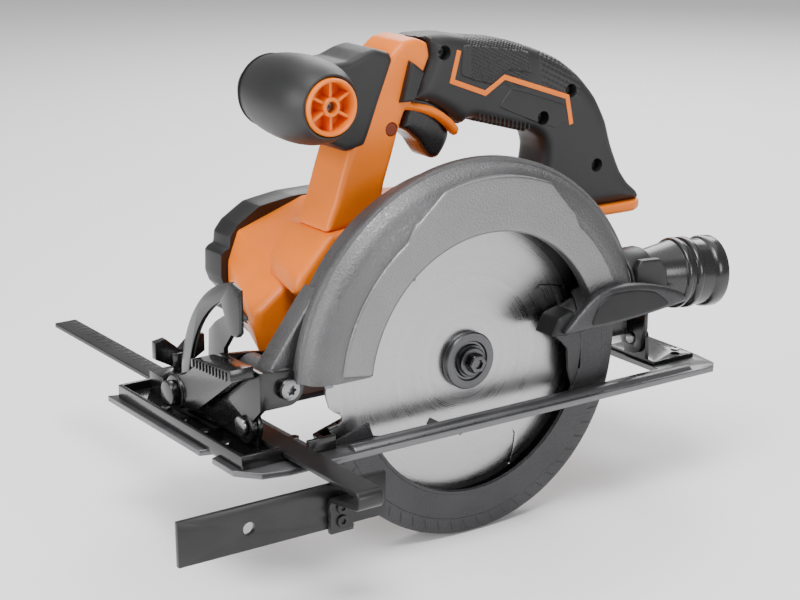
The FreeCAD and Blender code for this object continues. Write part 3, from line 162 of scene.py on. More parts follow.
class Shader:
    """Builds one material's nodes."""

    def __init__(self, name: str) -> None:
        """Make the material with its surface shader."""
        self.material = bpy.data.materials.new(name)
        self.material.use_nodes = True
        self.tree = self.material.node_tree
        self.surface = self.tree.nodes["Principled BSDF"]

    def node(self, kind: str, settings: dict, values: dict, output: int | str = 0) -> Link:
        """Add a node.

        Args:
            kind: the node's type.
            settings: properties, set before its sockets.
            values: numbers, tuples or links for its inputs, by index or name.
            output: which output to return.

        Returns:
            The chosen output.
        """
        made = self.tree.nodes.new(kind)
        for key, value in settings.items():
            if key == "stops":
                made.color_ramp.elements[0].position, made.color_ramp.elements[1].position = value
            else:
                setattr(made, key, value)
        for key, value in values.items():
            if isinstance(value, Link):
                self.tree.links.new(value.socket, made.inputs[key])
            else:
                made.inputs[key].default_value = value
        return Link(self, made.outputs[output])

    def place(self) -> Link:
        """Object coordinates."""
        return self.node("ShaderNodeTexCoord", {}, {}, "Object")

    def parts(self) -> tuple[Link, Link, Link]:
        """The three object coordinates apart."""
        split = self.node("ShaderNodeSeparateXYZ", {}, {0: self.place()})
        outputs = split.socket.node.outputs
        return Link(self, outputs[0]), Link(self, outputs[1]), Link(self, outputs[2])

    def noise(self, scale: float, detail: float = 2.0, stretch: Triple = (1, 1, 1)) -> Link:
        """Noise about 0.5, with its features one over scale metres across."""
        where = self.place()
        if stretch != (1, 1, 1):
            where = self.node("ShaderNodeMapping", {}, {0: where, 3: stretch})
        return self.node("ShaderNodeTexNoise", {}, {"Vector": where, "Scale": scale, "Detail": detail})

    def fade(self, value: Link, low: float, high: float) -> Link:
        """Map a range onto 0 to 1 with a smooth step."""
        return self.node("ShaderNodeMapRange", {"interpolation_type": "SMOOTHSTEP"},
                         {0: value, 1: low, 2: high})

    def mix(self, share: Link | float, first: Triple | Link, second: Triple | Link) -> Link:
        """Mix two colours."""
        colours = [c if isinstance(c, Link) else (*c, 1.0) for c in (first, second)]
        return self.node("ShaderNodeMix", {"data_type": "RGBA"}, {0: share, 6: colours[0], 7: colours[1]}, 2)

    def bump(self, height: Link, distance: float, under: Link | None = None) -> Link:
        """A bump of a height between 0 and 1, over an optional coarser one."""
        values = {"Height": height, "Distance": distance, "Strength": 1.0}
        if under is not None:
            values["Normal"] = under
        return self.node("ShaderNodeBump", {}, values)

    def set(self, **sockets: Link | float | tuple) -> None:
        """Feed the surface shader's sockets; underscores stand for spaces."""
        for name, value in sockets.items():
            socket = self.surface.inputs[name.replace("_", " ")]
            if isinstance(value, Link):
                self.tree.links.new(value.socket, socket)
            else:
                socket.default_value = value


@dataclass(frozen=True)
class Finish:
    """A surface finish: its colour, gloss and grain.

    The grain's scale is in features per metre and its depth in metres.
    """

    name: str
    slot: str
    colour: Triple
    metallic: float = 0.0
    roughness: float = 0.45
    grain: float = 2600.0
    depth: float = 0.00004
    mottle: float = 0.12
    coat: float = 0.0
    pattern: Pattern = Pattern.PLAIN

    def material(self) -> bpy.types.Material:
        """The material, made once."""
        return bpy.data.materials.get(self.name) or self._build()

    def _build(self) -> bpy.types.Material:
        """Build colour, gloss and bump, and add what the pattern asks for."""
        shader = Shader(self.name)
        cloud = shader.noise(38.0, 4.0)
        fine = shader.noise(self.grain, 2.0)
        dark = tuple(c * (1 - self.mottle) for c in self.colour)
        light = tuple(min(1.0, c * (1 + self.mottle)) for c in self.colour)
        colour = shader.mix(shader.fade(cloud, 0.3, 0.7), dark, light)
        gloss = self.roughness + (cloud - 0.5) * 0.16 + (fine - 0.5) * 0.1
        normal = shader.bump(fine, self.depth)
        if self.pattern is Pattern.TURNED:
            colour, gloss, normal = self._turned(shader, colour, gloss)
        elif self.pattern is Pattern.ROLLED:
            streak = shader.noise(260.0, 3.0, (0.06, 1.0, 1.0))
            colour = shader.mix(shader.fade(streak, 0.35, 0.75), colour, light)
            gloss = gloss + (streak - 0.5) * 0.22
            normal = shader.bump(streak, self.depth, normal)
        elif self.pattern is Pattern.KNURLED:
            normal = self._knurled(shader, normal)
        elif self.pattern is Pattern.CAST:
            pits = shader.fade(shader.noise(900.0, 3.0), 0.42, 0.6)
            gloss = gloss + (1 - pits) * 0.08
            normal = shader.bump(pits, self.depth * 1.6, normal)
        shader.set(Base_Color=colour, Roughness=gloss, Metallic=self.metallic, Normal=normal)
        shader.set(Coat_Weight=self.coat, Coat_Roughness=0.18)
        return shader.material

    def _turned(self, shader: Shader, colour: Link, gloss: Link) -> tuple[Link, Link, Link]:
        """Grinding rings about the arbor: rings of two widths, the fine ones in colour, gloss and bump, the
        broad ones in gloss.
        """
        x, _, z = shader.parts()
        z = z - ARBOR[1] * MM
        radius = (x * x + z * z) ** 0.5
        ring = shader.node("ShaderNodeCombineXYZ", {}, {0: radius})
        rings = shader.node("ShaderNodeTexNoise", {}, {"Vector": ring, "Scale": 2300.0, "Detail": 3.0})
        broad = shader.node("ShaderNodeTexNoise", {}, {"Vector": ring, "Scale": 260.0, "Detail": 2.0})
        light = tuple(min(1.0, c * 1.18) for c in self.colour)
        colour = shader.mix(shader.fade(rings, 0.35, 0.7), colour, light)
        gloss = gloss + (rings - 0.5) * 0.3 + (broad - 0.5) * 0.2
        return colour, gloss, shader.bump(rings, self.depth)

    def _knurled(self, shader: Shader, normal: Link) -> Link:
        """A fine weave on the crown of the grip and a coarser one behind it, both off its lower half."""
        x, y, z = shader.parts()
        upper = shader.fade(z + x * 0.22, 0.164, 0.166)
        zones = ((0.020, 0.056, 2400.0), (0.064, 0.090, 1500.0))
        for start, end, pitch in zones:
            across = (x * pitch + z * (pitch * 0.4)).maths("SINE")
            along = (z * pitch - x * (pitch * 0.3) + y * pitch).maths("SINE")
            weave = (across * along * 0.5 + 0.5) * x.band(start, end, 0.0008) * upper
            normal = shader.bump(weave, 0.0005, normal)
        return normal


ORANGE = Finish("orange moulding", "orange_plastic", (0.86, 0.185, 0.002), roughness=0.42, depth=0.00002,
                mottle=0.04)
BLACK = Finish("black moulding", "black_plastic", (0.010, 0.010, 0.011), roughness=0.42, depth=0.00005)
GLOSS_BLACK = Finish("glossy black moulding", "black_plastic", (0.011, 0.011, 0.012), roughness=0.27,
                     grain=900.0, depth=0.00001, coat=0.3)
GRIP = Finish("soft grip", "soft_grip", (0.014, 0.014, 0.015), roughness=0.52, depth=0.00006,
              pattern=Pattern.KNURLED)
SOFT = Finish("soft knob", "soft_grip", (0.013, 0.013, 0.014), roughness=0.48, depth=0.00006)
CAST = Finish("cast guard", "cast_magnesium", (0.15, 0.148, 0.152), metallic=0.85, roughness=0.40,
              grain=1900.0, depth=0.00006, mottle=0.07, pattern=Pattern.CAST)
# Painted highlight: a lighter, glossier copy of the cast guard finish, so the guard's raised near band reads
# brighter than the rest of its face.
PANEL_PAINTED_HIGHLIGHT = Finish("cast panel, painted highlight", "cast_magnesium", (0.235, 0.232, 0.238), metallic=0.88, roughness=0.33,
               grain=1500.0, depth=0.00005, mottle=0.05, pattern=Pattern.CAST)
BLADE = Finish("ground blade", "blade_steel", (0.40, 0.397, 0.404), metallic=1.0, roughness=0.30,
               depth=0.00003, mottle=0.05, pattern=Pattern.TURNED)
CARBIDE = Finish("carbide", "blade_steel", (0.22, 0.22, 0.23), metallic=0.9, roughness=0.35, depth=0.00001)
STAMPED = Finish("black stamping", "black_steel", (0.007, 0.007, 0.0075), metallic=0.3, roughness=0.25,
                 grain=700.0, depth=0.00002, coat=0.5)
SOLE = Finish("rolled sole", "sole_metal", (0.15, 0.15, 0.155), metallic=0.85, roughness=0.34, depth=0.00003,
              mottle=0.06, pattern=Pattern.ROLLED)
FENCE = Finish("fence paint", "fence_metal", (0.028, 0.028, 0.029), metallic=0.5, roughness=0.33,
               depth=0.00003)
GUARD = Finish("swing guard", "guard_metal", (0.062, 0.061, 0.064), metallic=0.82, roughness=0.36,
               grain=1900.0, depth=0.00005, mottle=0.08, pattern=Pattern.CAST)
GUARD_RIM = Finish("swing guard rim", "guard_metal", (0.026, 0.026, 0.027), metallic=0.7, roughness=0.40,
                   depth=0.00003)
ZINC = Finish("zinc plate", "bright_steel", (0.30, 0.30, 0.31), metallic=1.0, roughness=0.28, depth=0.00002)
OILED = Finish("oiled steel", "spring_steel", (0.10, 0.10, 0.105), metallic=1.0, roughness=0.30,
               depth=0.00002, pattern=Pattern.TURNED)
CORE = Finish("laminated core", "motor_core", (0.22, 0.16, 0.12), metallic=0.8, roughness=0.45)
PLUG = Finish("plug", "orange_plastic", (0.16, 0.022, 0.002), roughness=0.5)
INK = Finish("black ink", "guard_metal", (0.012, 0.012, 0.012), roughness=0.6, depth=0.00001)


# ---------------------------------------------------------------- mesh tools


def new_object(name: str, spots: list | np.ndarray, faces: list) -> Thing:
    """An object from corners in millimetres and faces.

    Args:
        name: the object's name.
        spots: its corners.
        faces: tuples of corner numbers.

    Returns:
        The linked object, closed and facing outwards.
    """
    mesh = bpy.data.meshes.new(name)
    mesh.from_pydata([tuple(float(c) * MM for c in spot) for spot in spots], [], faces)
    work = bmesh.new()
    work.from_mesh(mesh)
    bmesh.ops.remove_doubles(work, verts=work.verts, dist=1e-6)
    bmesh.ops.recalc_face_normals(work, faces=work.faces)
    work.to_mesh(mesh)
    work.free()
    thing = bpy.data.objects.new(name, mesh)
    bpy.context.scene.collection.objects.link(thing)
    return thing


def baked(thing: Thing) -> Thing:
    """Turn an object's modifiers into plain mesh."""
    depsgraph = bpy.context.evaluated_depsgraph_get()
    mesh = bpy.data.meshes.new_from_object(thing.evaluated_get(depsgraph))
    thing.modifiers.clear()
    old = thing.data
    thing.data = mesh
    bpy.data.meshes.remove(old)
    return thing


def shade(thing: Thing, angle: float = 38.0) -> Thing:
    """Shade smooth, but keep edges sharper than an angle."""
    thing.data.shade_smooth()
    thing.data.set_sharp_from_angle(angle=math.radians(angle))
    return thing


def bevelled(thing: Thing, width: float, steps: int = 2, angle: float = 35.0) -> Thing:
    """Round an object's sharp edges by a width in millimetres."""
    bevel = thing.modifiers.new("edges", "BEVEL")
    bevel.width = width * MM
    bevel.segments = steps
    bevel.limit_method = "ANGLE"
    bevel.angle_limit = math.radians(angle)
    bevel.use_clamp_overlap = True
    return baked(thing)


def carved(thing: Thing, *tools: Thing) -> Thing:
    """Cut tools out of an object and remove the tools."""
    for tool in tools:
        cut = thing.modifiers.new("cut", "BOOLEAN")
        cut.operation = "DIFFERENCE"
        cut.object = tool
        cut.solver = "EXACT"
    baked(thing)
    for tool in tools:
        bpy.data.objects.remove(tool)
    return thing


def joined(name: str, things: list[Thing]) -> Thing:
    """Join objects of one finish into one."""
    work = bmesh.new()
    for thing in things:
        work.from_mesh(thing.data)
    mesh = bpy.data.meshes.new(name)
    work.to_mesh(mesh)
    work.free()
    for thing in things:
        bpy.data.objects.remove(thing)
    whole = bpy.data.objects.new(name, mesh)
    bpy.context.scene.collection.objects.link(whole)
    return whole


def curve_through(points: list[Pair], smooth: float = 0.5, step: float = 1.5) -> np.ndarray:
    """A closed outline through points, rounded between them, with evenly spaced corners.

    Args:
        points: the outline's corners in order.
        smooth: 0 for straight sides, 0.5 for a full spline.
        step: the spacing in millimetres.

    Returns:
        An array of corners.
    """
    spots = np.array(points, float)
    out = []
    count = len(spots)
    for index in range(count):
        before, start, end, after = (spots[(index + k) % count] for k in (-1, 0, 1, 2))
        run = np.linalg.norm(end - start)
        slope_in = (end - before) / (np.linalg.norm(start - before) + run) * run * 2 * smooth
        slope_out = (after - start) / (np.linalg.norm(after - end) + run) * run * 2 * smooth
        for t in np.arange(0, 1, 1 / max(1, round(run / step))):
            basis = np.array([2 * t**3 - 3 * t**2 + 1, t**3 - 2 * t**2 + t, -2 * t**3 + 3 * t**2,
                              t**3 - t**2])
            out.append(basis @ np.array([start, slope_in, end, slope_out]))
    return np.array(out)


def strip_along(path: list[Pair] | tuple[Pair, ...], width: float, step: float) -> np.ndarray:
    """The outline of a strip of even width along a path, with mitred corners.

    Args:
        path: the strip's middle line.
        width: its width.
        step: the spacing of the outline's corners.

    Returns:
        An array of corners.
    """
    spots = np.array(path)
    runs = np.diff(spots, axis=0)
    runs /= np.linalg.norm(runs, axis=1)[:, None]
    normals = np.column_stack([-runs[:, 1], runs[:, 0]])
    turned = [(before + after) / max((before + after) @ before, 0.3) for before,
              after in zip(normals, normals[1:])]
    side = np.array([normals[0], *turned, normals[-1]]) * width / 2
    return curve_through([tuple(p) for p in np.vstack([spots + side, (spots - side)[::-1]])], 0.0, step)


def edge_distance(points: np.ndarray, loops: list[np.ndarray]) -> tuple[np.ndarray, np.ndarray]:
    """How far points lie from the nearest edge of some closed loops, and which lie inside.

    Args:
        points: places in the plane.
        loops: the outline and its holes.

    Returns:
        Distances, and whether each point is inside by the even-odd rule.
    """
    distance = np.full(len(points), 1e9)
    inside = np.zeros(len(points), bool)
    for loop in loops:
        for start, end in zip(loop, np.roll(loop, -1, axis=0)):
            side = end - start
            share = np.clip(((points - start) @ side) / max(side @ side, 1e-12), 0, 1)
            near = start + share[:, None] * side
            distance = np.minimum(distance, np.linalg.norm(points - near, axis=1))
            crosses = (start[1] > points[:, 1]) != (end[1] > points[:, 1])
            with np.errstate(divide="ignore", invalid="ignore"):
                at = (end[0] - start[0]) * (points[:, 1] - start[1]) / (end[1] - start[1]) + start[0]
            inside ^= crosses & (points[:, 0] < at)
    return distance, inside


def cushioned(name: str, loops: list[np.ndarray], low: float, high: float, rounds: Pair,
              plane: str = "XZ") -> Thing:
    """A plate whose edges are rounded on both faces, as a moulding or a casting is.

    Args:
        name: the object's name.
        loops: the outline, then any holes.
        low: the lower face along the plane's third axis.
        high: the upper face.
        rounds: radius of the edge on the lower and on the upper face.
        plane: XZ, YZ or XY.

    Returns:
        The object.
    """
    reach = max(rounds)
    turns = np.linspace(0, math.pi / 2, 7)[1:]
    spots = [np.vstack(loops)]
    for loop in loops:
        ahead, behind = np.roll(loop, -1, axis=0), np.roll(loop, 1, axis=0)
        along = (ahead - behind) / np.maximum(np.linalg.norm(ahead - behind, axis=1), 1e-9)[:, None]
        normal = np.column_stack([-along[:, 1], along[:, 0]])
        for side in (1, -1):
            for inward in reach * (1 - np.cos(turns)):
                ring = loop + side * normal * inward
                away, within = edge_distance(ring, loops)
                spots.append(ring[within & (away > inward * 0.93)])
    corner, other = spots[0].min(axis=0), spots[0].max(axis=0)
    grid = np.stack(np.meshgrid(np.arange(corner[0], other[0], 4.1), np.arange(corner[1], other[1], 4.1)), -1)
    grid = grid.reshape(-1, 2)
    away, within = edge_distance(grid, loops)
    spots.append(grid[within & (away > reach + 1)])
    flat = np.vstack(spots)
    edges, first = [], 0
    for loop in loops:
        edges += [(first + k, first + (k + 1) % len(loop)) for k in range(len(loop))]
        first += len(loop)
    result = delaunay_2d_cdt([Vector(p) for p in flat], edges, [], 0, 1e-4, True)
    plan = np.array([tuple(v) for v in result[0]])
    centres = np.array([plan[list(face)].mean(axis=0) for face in result[2]])
    _, within = edge_distance(centres, loops)
    triangles = [tuple(face) for face, keep in zip(result[2], within) if keep]
    away, _ = edge_distance(plan, loops)
    count = len(plan)
    heights = []
    for face, way, radius in ((low, -1, rounds[0]), (high, 1, rounds[1])):
        share = np.clip(away / max(radius, 1e-6), 0, 1)
        heights.append(face - way * radius * (1 - np.sqrt(np.clip(1 - (1 - share) ** 2, 0, 1))))
    faces = [tuple(reversed(face)) for face in triangles]
    faces += [tuple(k + count for k in face) for face in triangles]
    uses: dict = {}
    for face in triangles:
        for start, end in zip(face, face[1:] + face[:1]):
            uses.setdefault((min(start, end), max(start, end)), []).append((start, end))
    for runs in uses.values():
        if len(runs) == 1:
            start, end = runs[0]
            faces.append((start, end, end + count, start + count))
    order = {"XZ": (0, 2, 1), "YZ": (1, 2, 0), "XY": (0, 1, 2)}[plane]
    both = []
    for height in heights:
        stacked = np.column_stack([plan, height])
        placed = np.empty_like(stacked)
        for source, target in enumerate(order):
            placed[:, target] = stacked[:, source]
        both.append(placed)
    used = {k for face in faces for k in face}
    kept = {old: new for new, old in enumerate(sorted(used))}
    whole = np.vstack(both)[sorted(used)]
    return new_object(name, whole, [tuple(kept[k] for k in face) for face in faces])


def lathe(name: str, axis: Axis, centre: Pair, profile: list[Pair], steps: int = 96) -> Thing:
    """A turned piece from a closed profile of (place along the axis, radius).

    Args:
        name: the object's name.
        axis: the axis it is turned about.
        centre: the axis's other two coordinates, in X, Y, Z order.
        profile: the section; a radius of 0 lies on the axis.
        steps: sides of the circle.

    Returns:
        The object.
    """
    spots, faces = [], []
    count = len(profile)
    for step in range(steps):
        angle = 2 * math.pi * step / steps
        for along, radius in profile:
            u, v = radius * math.cos(angle), radius * math.sin(angle)
            spot = {
                Axis.X: (along, centre[0] + u, centre[1] + v), Axis.Y: (centre[0] + u, along, centre[1] + v),
                Axis.Z: (centre[0] + u, centre[1] + v, along),
            }[axis]
            spots.append(spot)
    for step in range(steps):
        after = (step + 1) % steps
        for index in range(count):
            follower = (index + 1) % count
            if profile[index][1] == 0 and profile[follower][1] == 0:
                continue
            faces.append((step * count + index, step * count + follower, after * count + follower,
                          after * count + index))
    return new_object(name, spots, faces)


def swept(name: str, centre: Pair, profile: list[Pair], start: float, end: float, steps: int = 120) -> Thing:
    """A closed section carried round an arc about a Y axis, with flat ends.

    Args:
        name: the object's name.
        centre: X and Z of the axis.
        profile: the section as (Y, radius).
        start: first angle in degrees, from +X towards +Z.
        end: last angle.
        steps: sides of the arc.

    Returns:
        The object.
    """
    count = len(profile)
    spots, faces = [], []
    for angle in np.radians(np.linspace(start, end, steps + 1)):
        spots += [(centre[0] + r * math.cos(angle), y, centre[1] + r * math.sin(angle)) for y, r in profile]
    for step in range(steps):
        for index in range(count):
            follower = (index + 1) % count
            a, b = step * count, (step + 1) * count
            faces.append((a + index, a + follower, b + follower, b + index))
    faces += [tuple(range(count)), tuple(steps * count + k for k in range(count))]
    return new_object(name, spots, faces)


def block(name: str, low: Triple, high: Triple, edge: float = 0.4) -> Thing:
    """A box between two corners with rounded edges."""
    spots = [(x, y, z) for x in (low[0], high[0]) for y in (low[1], high[1]) for z in (low[2], high[2])]
    faces = [(0, 1, 3, 2), (4, 6, 7, 5), (0, 4, 5, 1), (2, 3, 7, 6), (0, 2, 6, 4), (1, 5, 7, 3)]
    return bevelled(new_object(name, spots, faces), edge)


def lofted(name: str, rings: list[tuple[float, list[Pair]]], edge: float, steps: int = 2) -> Thing:
    """A faceted moulding through outlines that lie at several heights along Y.

    Args:
        name: the object's name.
        rings: for each height, the outline as (X, Z) corners, with the same number in every ring.
        edge: radius of the edges between facets.
        steps: facets round each edge.

    Returns:
        The object.
    """
    spots = [(x, y, z) for y, outline in rings for x, z in outline]
    count = len(rings[0][1])
    faces = [tuple(range(count)), tuple((len(rings) - 1) * count + k for k in range(count))]
    for level in range(len(rings) - 1):
        for k in range(count):
            a, b = level * count + k, level * count + (k + 1) % count
            faces.append((a, b, b + count, a + count))
    return bevelled(new_object(name, spots, faces), edge, steps, 14)


def drill(axis: Axis, centre: Pair, radius: float, start: float, end: float) -> Thing:
    """A cylinder to cut with."""
    return lathe("drill", axis, centre, [(start, 0), (start, radius), (end, radius), (end, 0)], 32)


def repeat_tree() -> bpy.types.NodeTree:
    """The node tree that sets a piece at every point, turned as the point's own attribute says."""
    tree = bpy.data.node_groups.get("repeat a piece")
    if tree:
        return tree
    tree = bpy.data.node_groups.new("repeat a piece", "GeometryNodeTree")
    face = tree.interface
    face.new_socket("Points", in_out="INPUT", socket_type="NodeSocketGeometry")
    face.new_socket("Piece", in_out="INPUT", socket_type="NodeSocketObject")
    face.new_socket("Size", in_out="INPUT", socket_type="NodeSocketFloat")
    face.new_socket("Finish", in_out="INPUT", socket_type="NodeSocketMaterial")
    face.new_socket("Pieces", in_out="OUTPUT", socket_type="NodeSocketGeometry")
    make = tree.nodes.new
    entry, leave = make("NodeGroupInput"), make("NodeGroupOutput")
    piece, turn = make("GeometryNodeObjectInfo"), make("GeometryNodeInputNamedAttribute")
    put = make("GeometryNodeInstanceOnPoints")
    real, paint = make("GeometryNodeRealizeInstances"), make("GeometryNodeSetMaterial")
    turn.data_type = "FLOAT_VECTOR"
    turn.inputs["Name"].default_value = "turn"
    links = tree.links
    links.new(entry.outputs["Points"], put.inputs["Points"])
    links.new(entry.outputs["Piece"], piece.inputs["Object"])
    links.new(piece.outputs["Geometry"], put.inputs["Instance"])
    links.new(turn.outputs["Attribute"], put.inputs["Rotation"])
    links.new(entry.outputs["Size"], put.inputs["Scale"])
    links.new(put.outputs["Instances"], real.inputs["Geometry"])
    links.new(real.outputs["Geometry"], paint.inputs["Geometry"])
    links.new(entry.outputs["Finish"], paint.inputs["Material"])
    links.new(paint.outputs["Geometry"], leave.inputs["Pieces"])
    return tree


def repeated(name: str, piece: Thing, spots: list[Triple], turns: list[Triple], finish: Finish,
             size: float = 1.0) -> Thing:
    """Copies of a piece at given places.

    Args:
        name: the object's name.
        piece: what is repeated, made about the origin; it is removed.
        spots: places in millimetres.
        turns: Euler angles in degrees, one for each place.
        finish: the copies' finish.
        size: scale of the copies.

    Returns:
        One plain mesh object.
    """
    mesh = bpy.data.meshes.new(name)
    mesh.from_pydata([tuple(c * MM for c in spot) for spot in spots], [], [])
    attribute = mesh.attributes.new("turn", "FLOAT_VECTOR", "POINT")
    attribute.data.foreach_set("vector", [math.radians(c) for turn in turns for c in turn])
    thing = bpy.data.objects.new(name, mesh)
    bpy.context.scene.collection.objects.link(thing)
    modifier = thing.modifiers.new("repeat", "NODES")
    modifier.node_group = repeat_tree()
    inputs = {i.name: i.identifier for i in modifier.node_group.interface.items_tree if i.in_out == "INPUT"}
    modifier[inputs["Piece"]] = piece
    modifier[inputs["Size"]] = size
    modifier[inputs["Finish"]] = finish.material()
    baked(thing)
    bpy.data.objects.remove(piece)
    return thing


def screw_head(radius: float = 3.0, height: float = 1.6) -> Thing:
    """A pan head about the origin that looks along +Z, with a six-lobed socket."""
    lobes = 48
    rings = [(radius * 0.86, -height), (radius, -height * 0.6), (radius * 0.93, -height * 0.12),
             (radius * 0.62, 0.0)]
    spots = [(r * math.cos(a), r * math.sin(a), z) for r, z in rings for a in np.linspace(0, 2 * math.pi,
                                                                                          lobes + 1)[:-1]]
    for depth in (0.0, -height * 0.7):
        for angle in np.linspace(0, 2 * math.pi, lobes + 1)[:-1]:
            reach = radius * (0.44 + 0.075 * math.cos(6 * angle))
            spots.append((reach * math.cos(angle), reach * math.sin(angle), depth))
    levels = len(rings) + 2
    faces = []
    for level in range(levels - 1):
        for k in range(lobes):
            after = (k + 1) % lobes
            faces.append((level * lobes + k, level * lobes + after, (level + 1) * lobes + after,
                          (level + 1) * lobes + k))
    faces += [tuple(range(lobes)), tuple((levels - 1) * lobes + k for k in range(lobes))]
    return new_object("screw_head", spots, faces)


# ---------------------------------------------------------------- the saw


@dataclass
class Assembly:
    """What every sub-assembly shares: dressing a piece and handing it to its body."""

    body: str = "saw_head"

    def keep(self, thing: Thing, finish: Finish, *stands_for: str, angle: float = 38.0,
             body: str = "") -> Thing:
        """Dress a piece, let it ride, and say which nodes it stands for.

        Args:
            thing: the piece.
            finish: its finish.
            stands_for: nodes that it replaces.
            angle: edges sharper than this stay sharp.
            body: the body it rides on, if not the assembly's own.

        Returns:
            The piece.
        """
        thing.data.materials.clear()
        thing.data.materials.append(finish.material())
        shade(thing, angle)
        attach(thing, body or self.body)
        if stands_for:
            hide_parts(*stands_for)
        log.info("%s: %d faces", thing.name, len(thing.data.polygons))
        return thing

    def plate(self, name: str, outline: list[Pair] | tuple[Pair, ...], smooth: float, span: Pair,
              rounds: Pair, finish: Finish, *stands_for: str, angle: float = 38.0) -> Thing:
        """Keep a plate in the XZ plane with rounded edges.

        Args:
            name: the piece's name.
            outline: its corners.
            smooth: how round the outline runs through them.
            span: its two faces along Y.
            rounds: the edge's radius on each face.
            finish: its finish.
            stands_for: nodes that it replaces.
            angle: edges sharper than this stay sharp.

        Returns:
            The piece.
        """
        thing = cushioned(name, [curve_through(list(outline), smooth)], *span, rounds)
        return self.keep(thing, finish, *stands_for, angle=angle)

    def row(self, name: str, piece: Thing, spots: list[Triple], finish: Finish, *stands_for: str,
            turns: list[Triple] | Triple = (0, 0, 0), body: str = "") -> Thing:
        """Keep copies of a piece at given places.

        Args:
            name: the copies' name.
            piece: what is repeated; it is removed.
            spots: their places.
            finish: their finish.
            stands_for: nodes that they replace.
            turns: Euler angles in degrees, one set for each copy or one for all.
            body: the body they ride on, if not the assembly's own.

        Returns:
            The copies as one piece.
        """
        each = turns if isinstance(turns, list) else [turns] * len(spots)
        return self.keep(repeated(name, piece, spots, each, finish), finish, *stands_for, body=body)

    def turned(self, name: str, axis: Axis, centre: Pair, profile: list[Pair], finish: Finish,
               *stands_for: str, steps: int = 96) -> Thing:
        """Keep a piece turned about an axis."""
        return self.keep(lathe(name, axis, centre, profile, steps), finish, *stands_for)

    def soften_all(self, finish: Finish, width: float, *nodes: str, body: str = "") -> None:
        """Stand softened copies in for several nodes of one finish."""
        for node in nodes:
            self.soften(node, finish, width, body)

    def soften(self, node: str, finish: Finish, width: float = 0.4, body: str = "") -> Thing:
        """Stand a copy with rounded edges in for a node whose shape is right."""
        copy = bpy.data.objects.new(node + "_finished", nodes[node].data.copy())
        bpy.context.scene.collection.objects.link(copy)
        work = bmesh.new()
        work.from_mesh(copy.data)
        bmesh.ops.remove_doubles(work, verts=work.verts, dist=2e-6)
        bmesh.ops.dissolve_limit(work, angle_limit=math.radians(0.6), verts=work.verts, edges=work.edges)
        work.to_mesh(copy.data)
        work.free()
        if width:
            bevelled(copy, width)
        return self.keep(copy, finish, node, body=body)


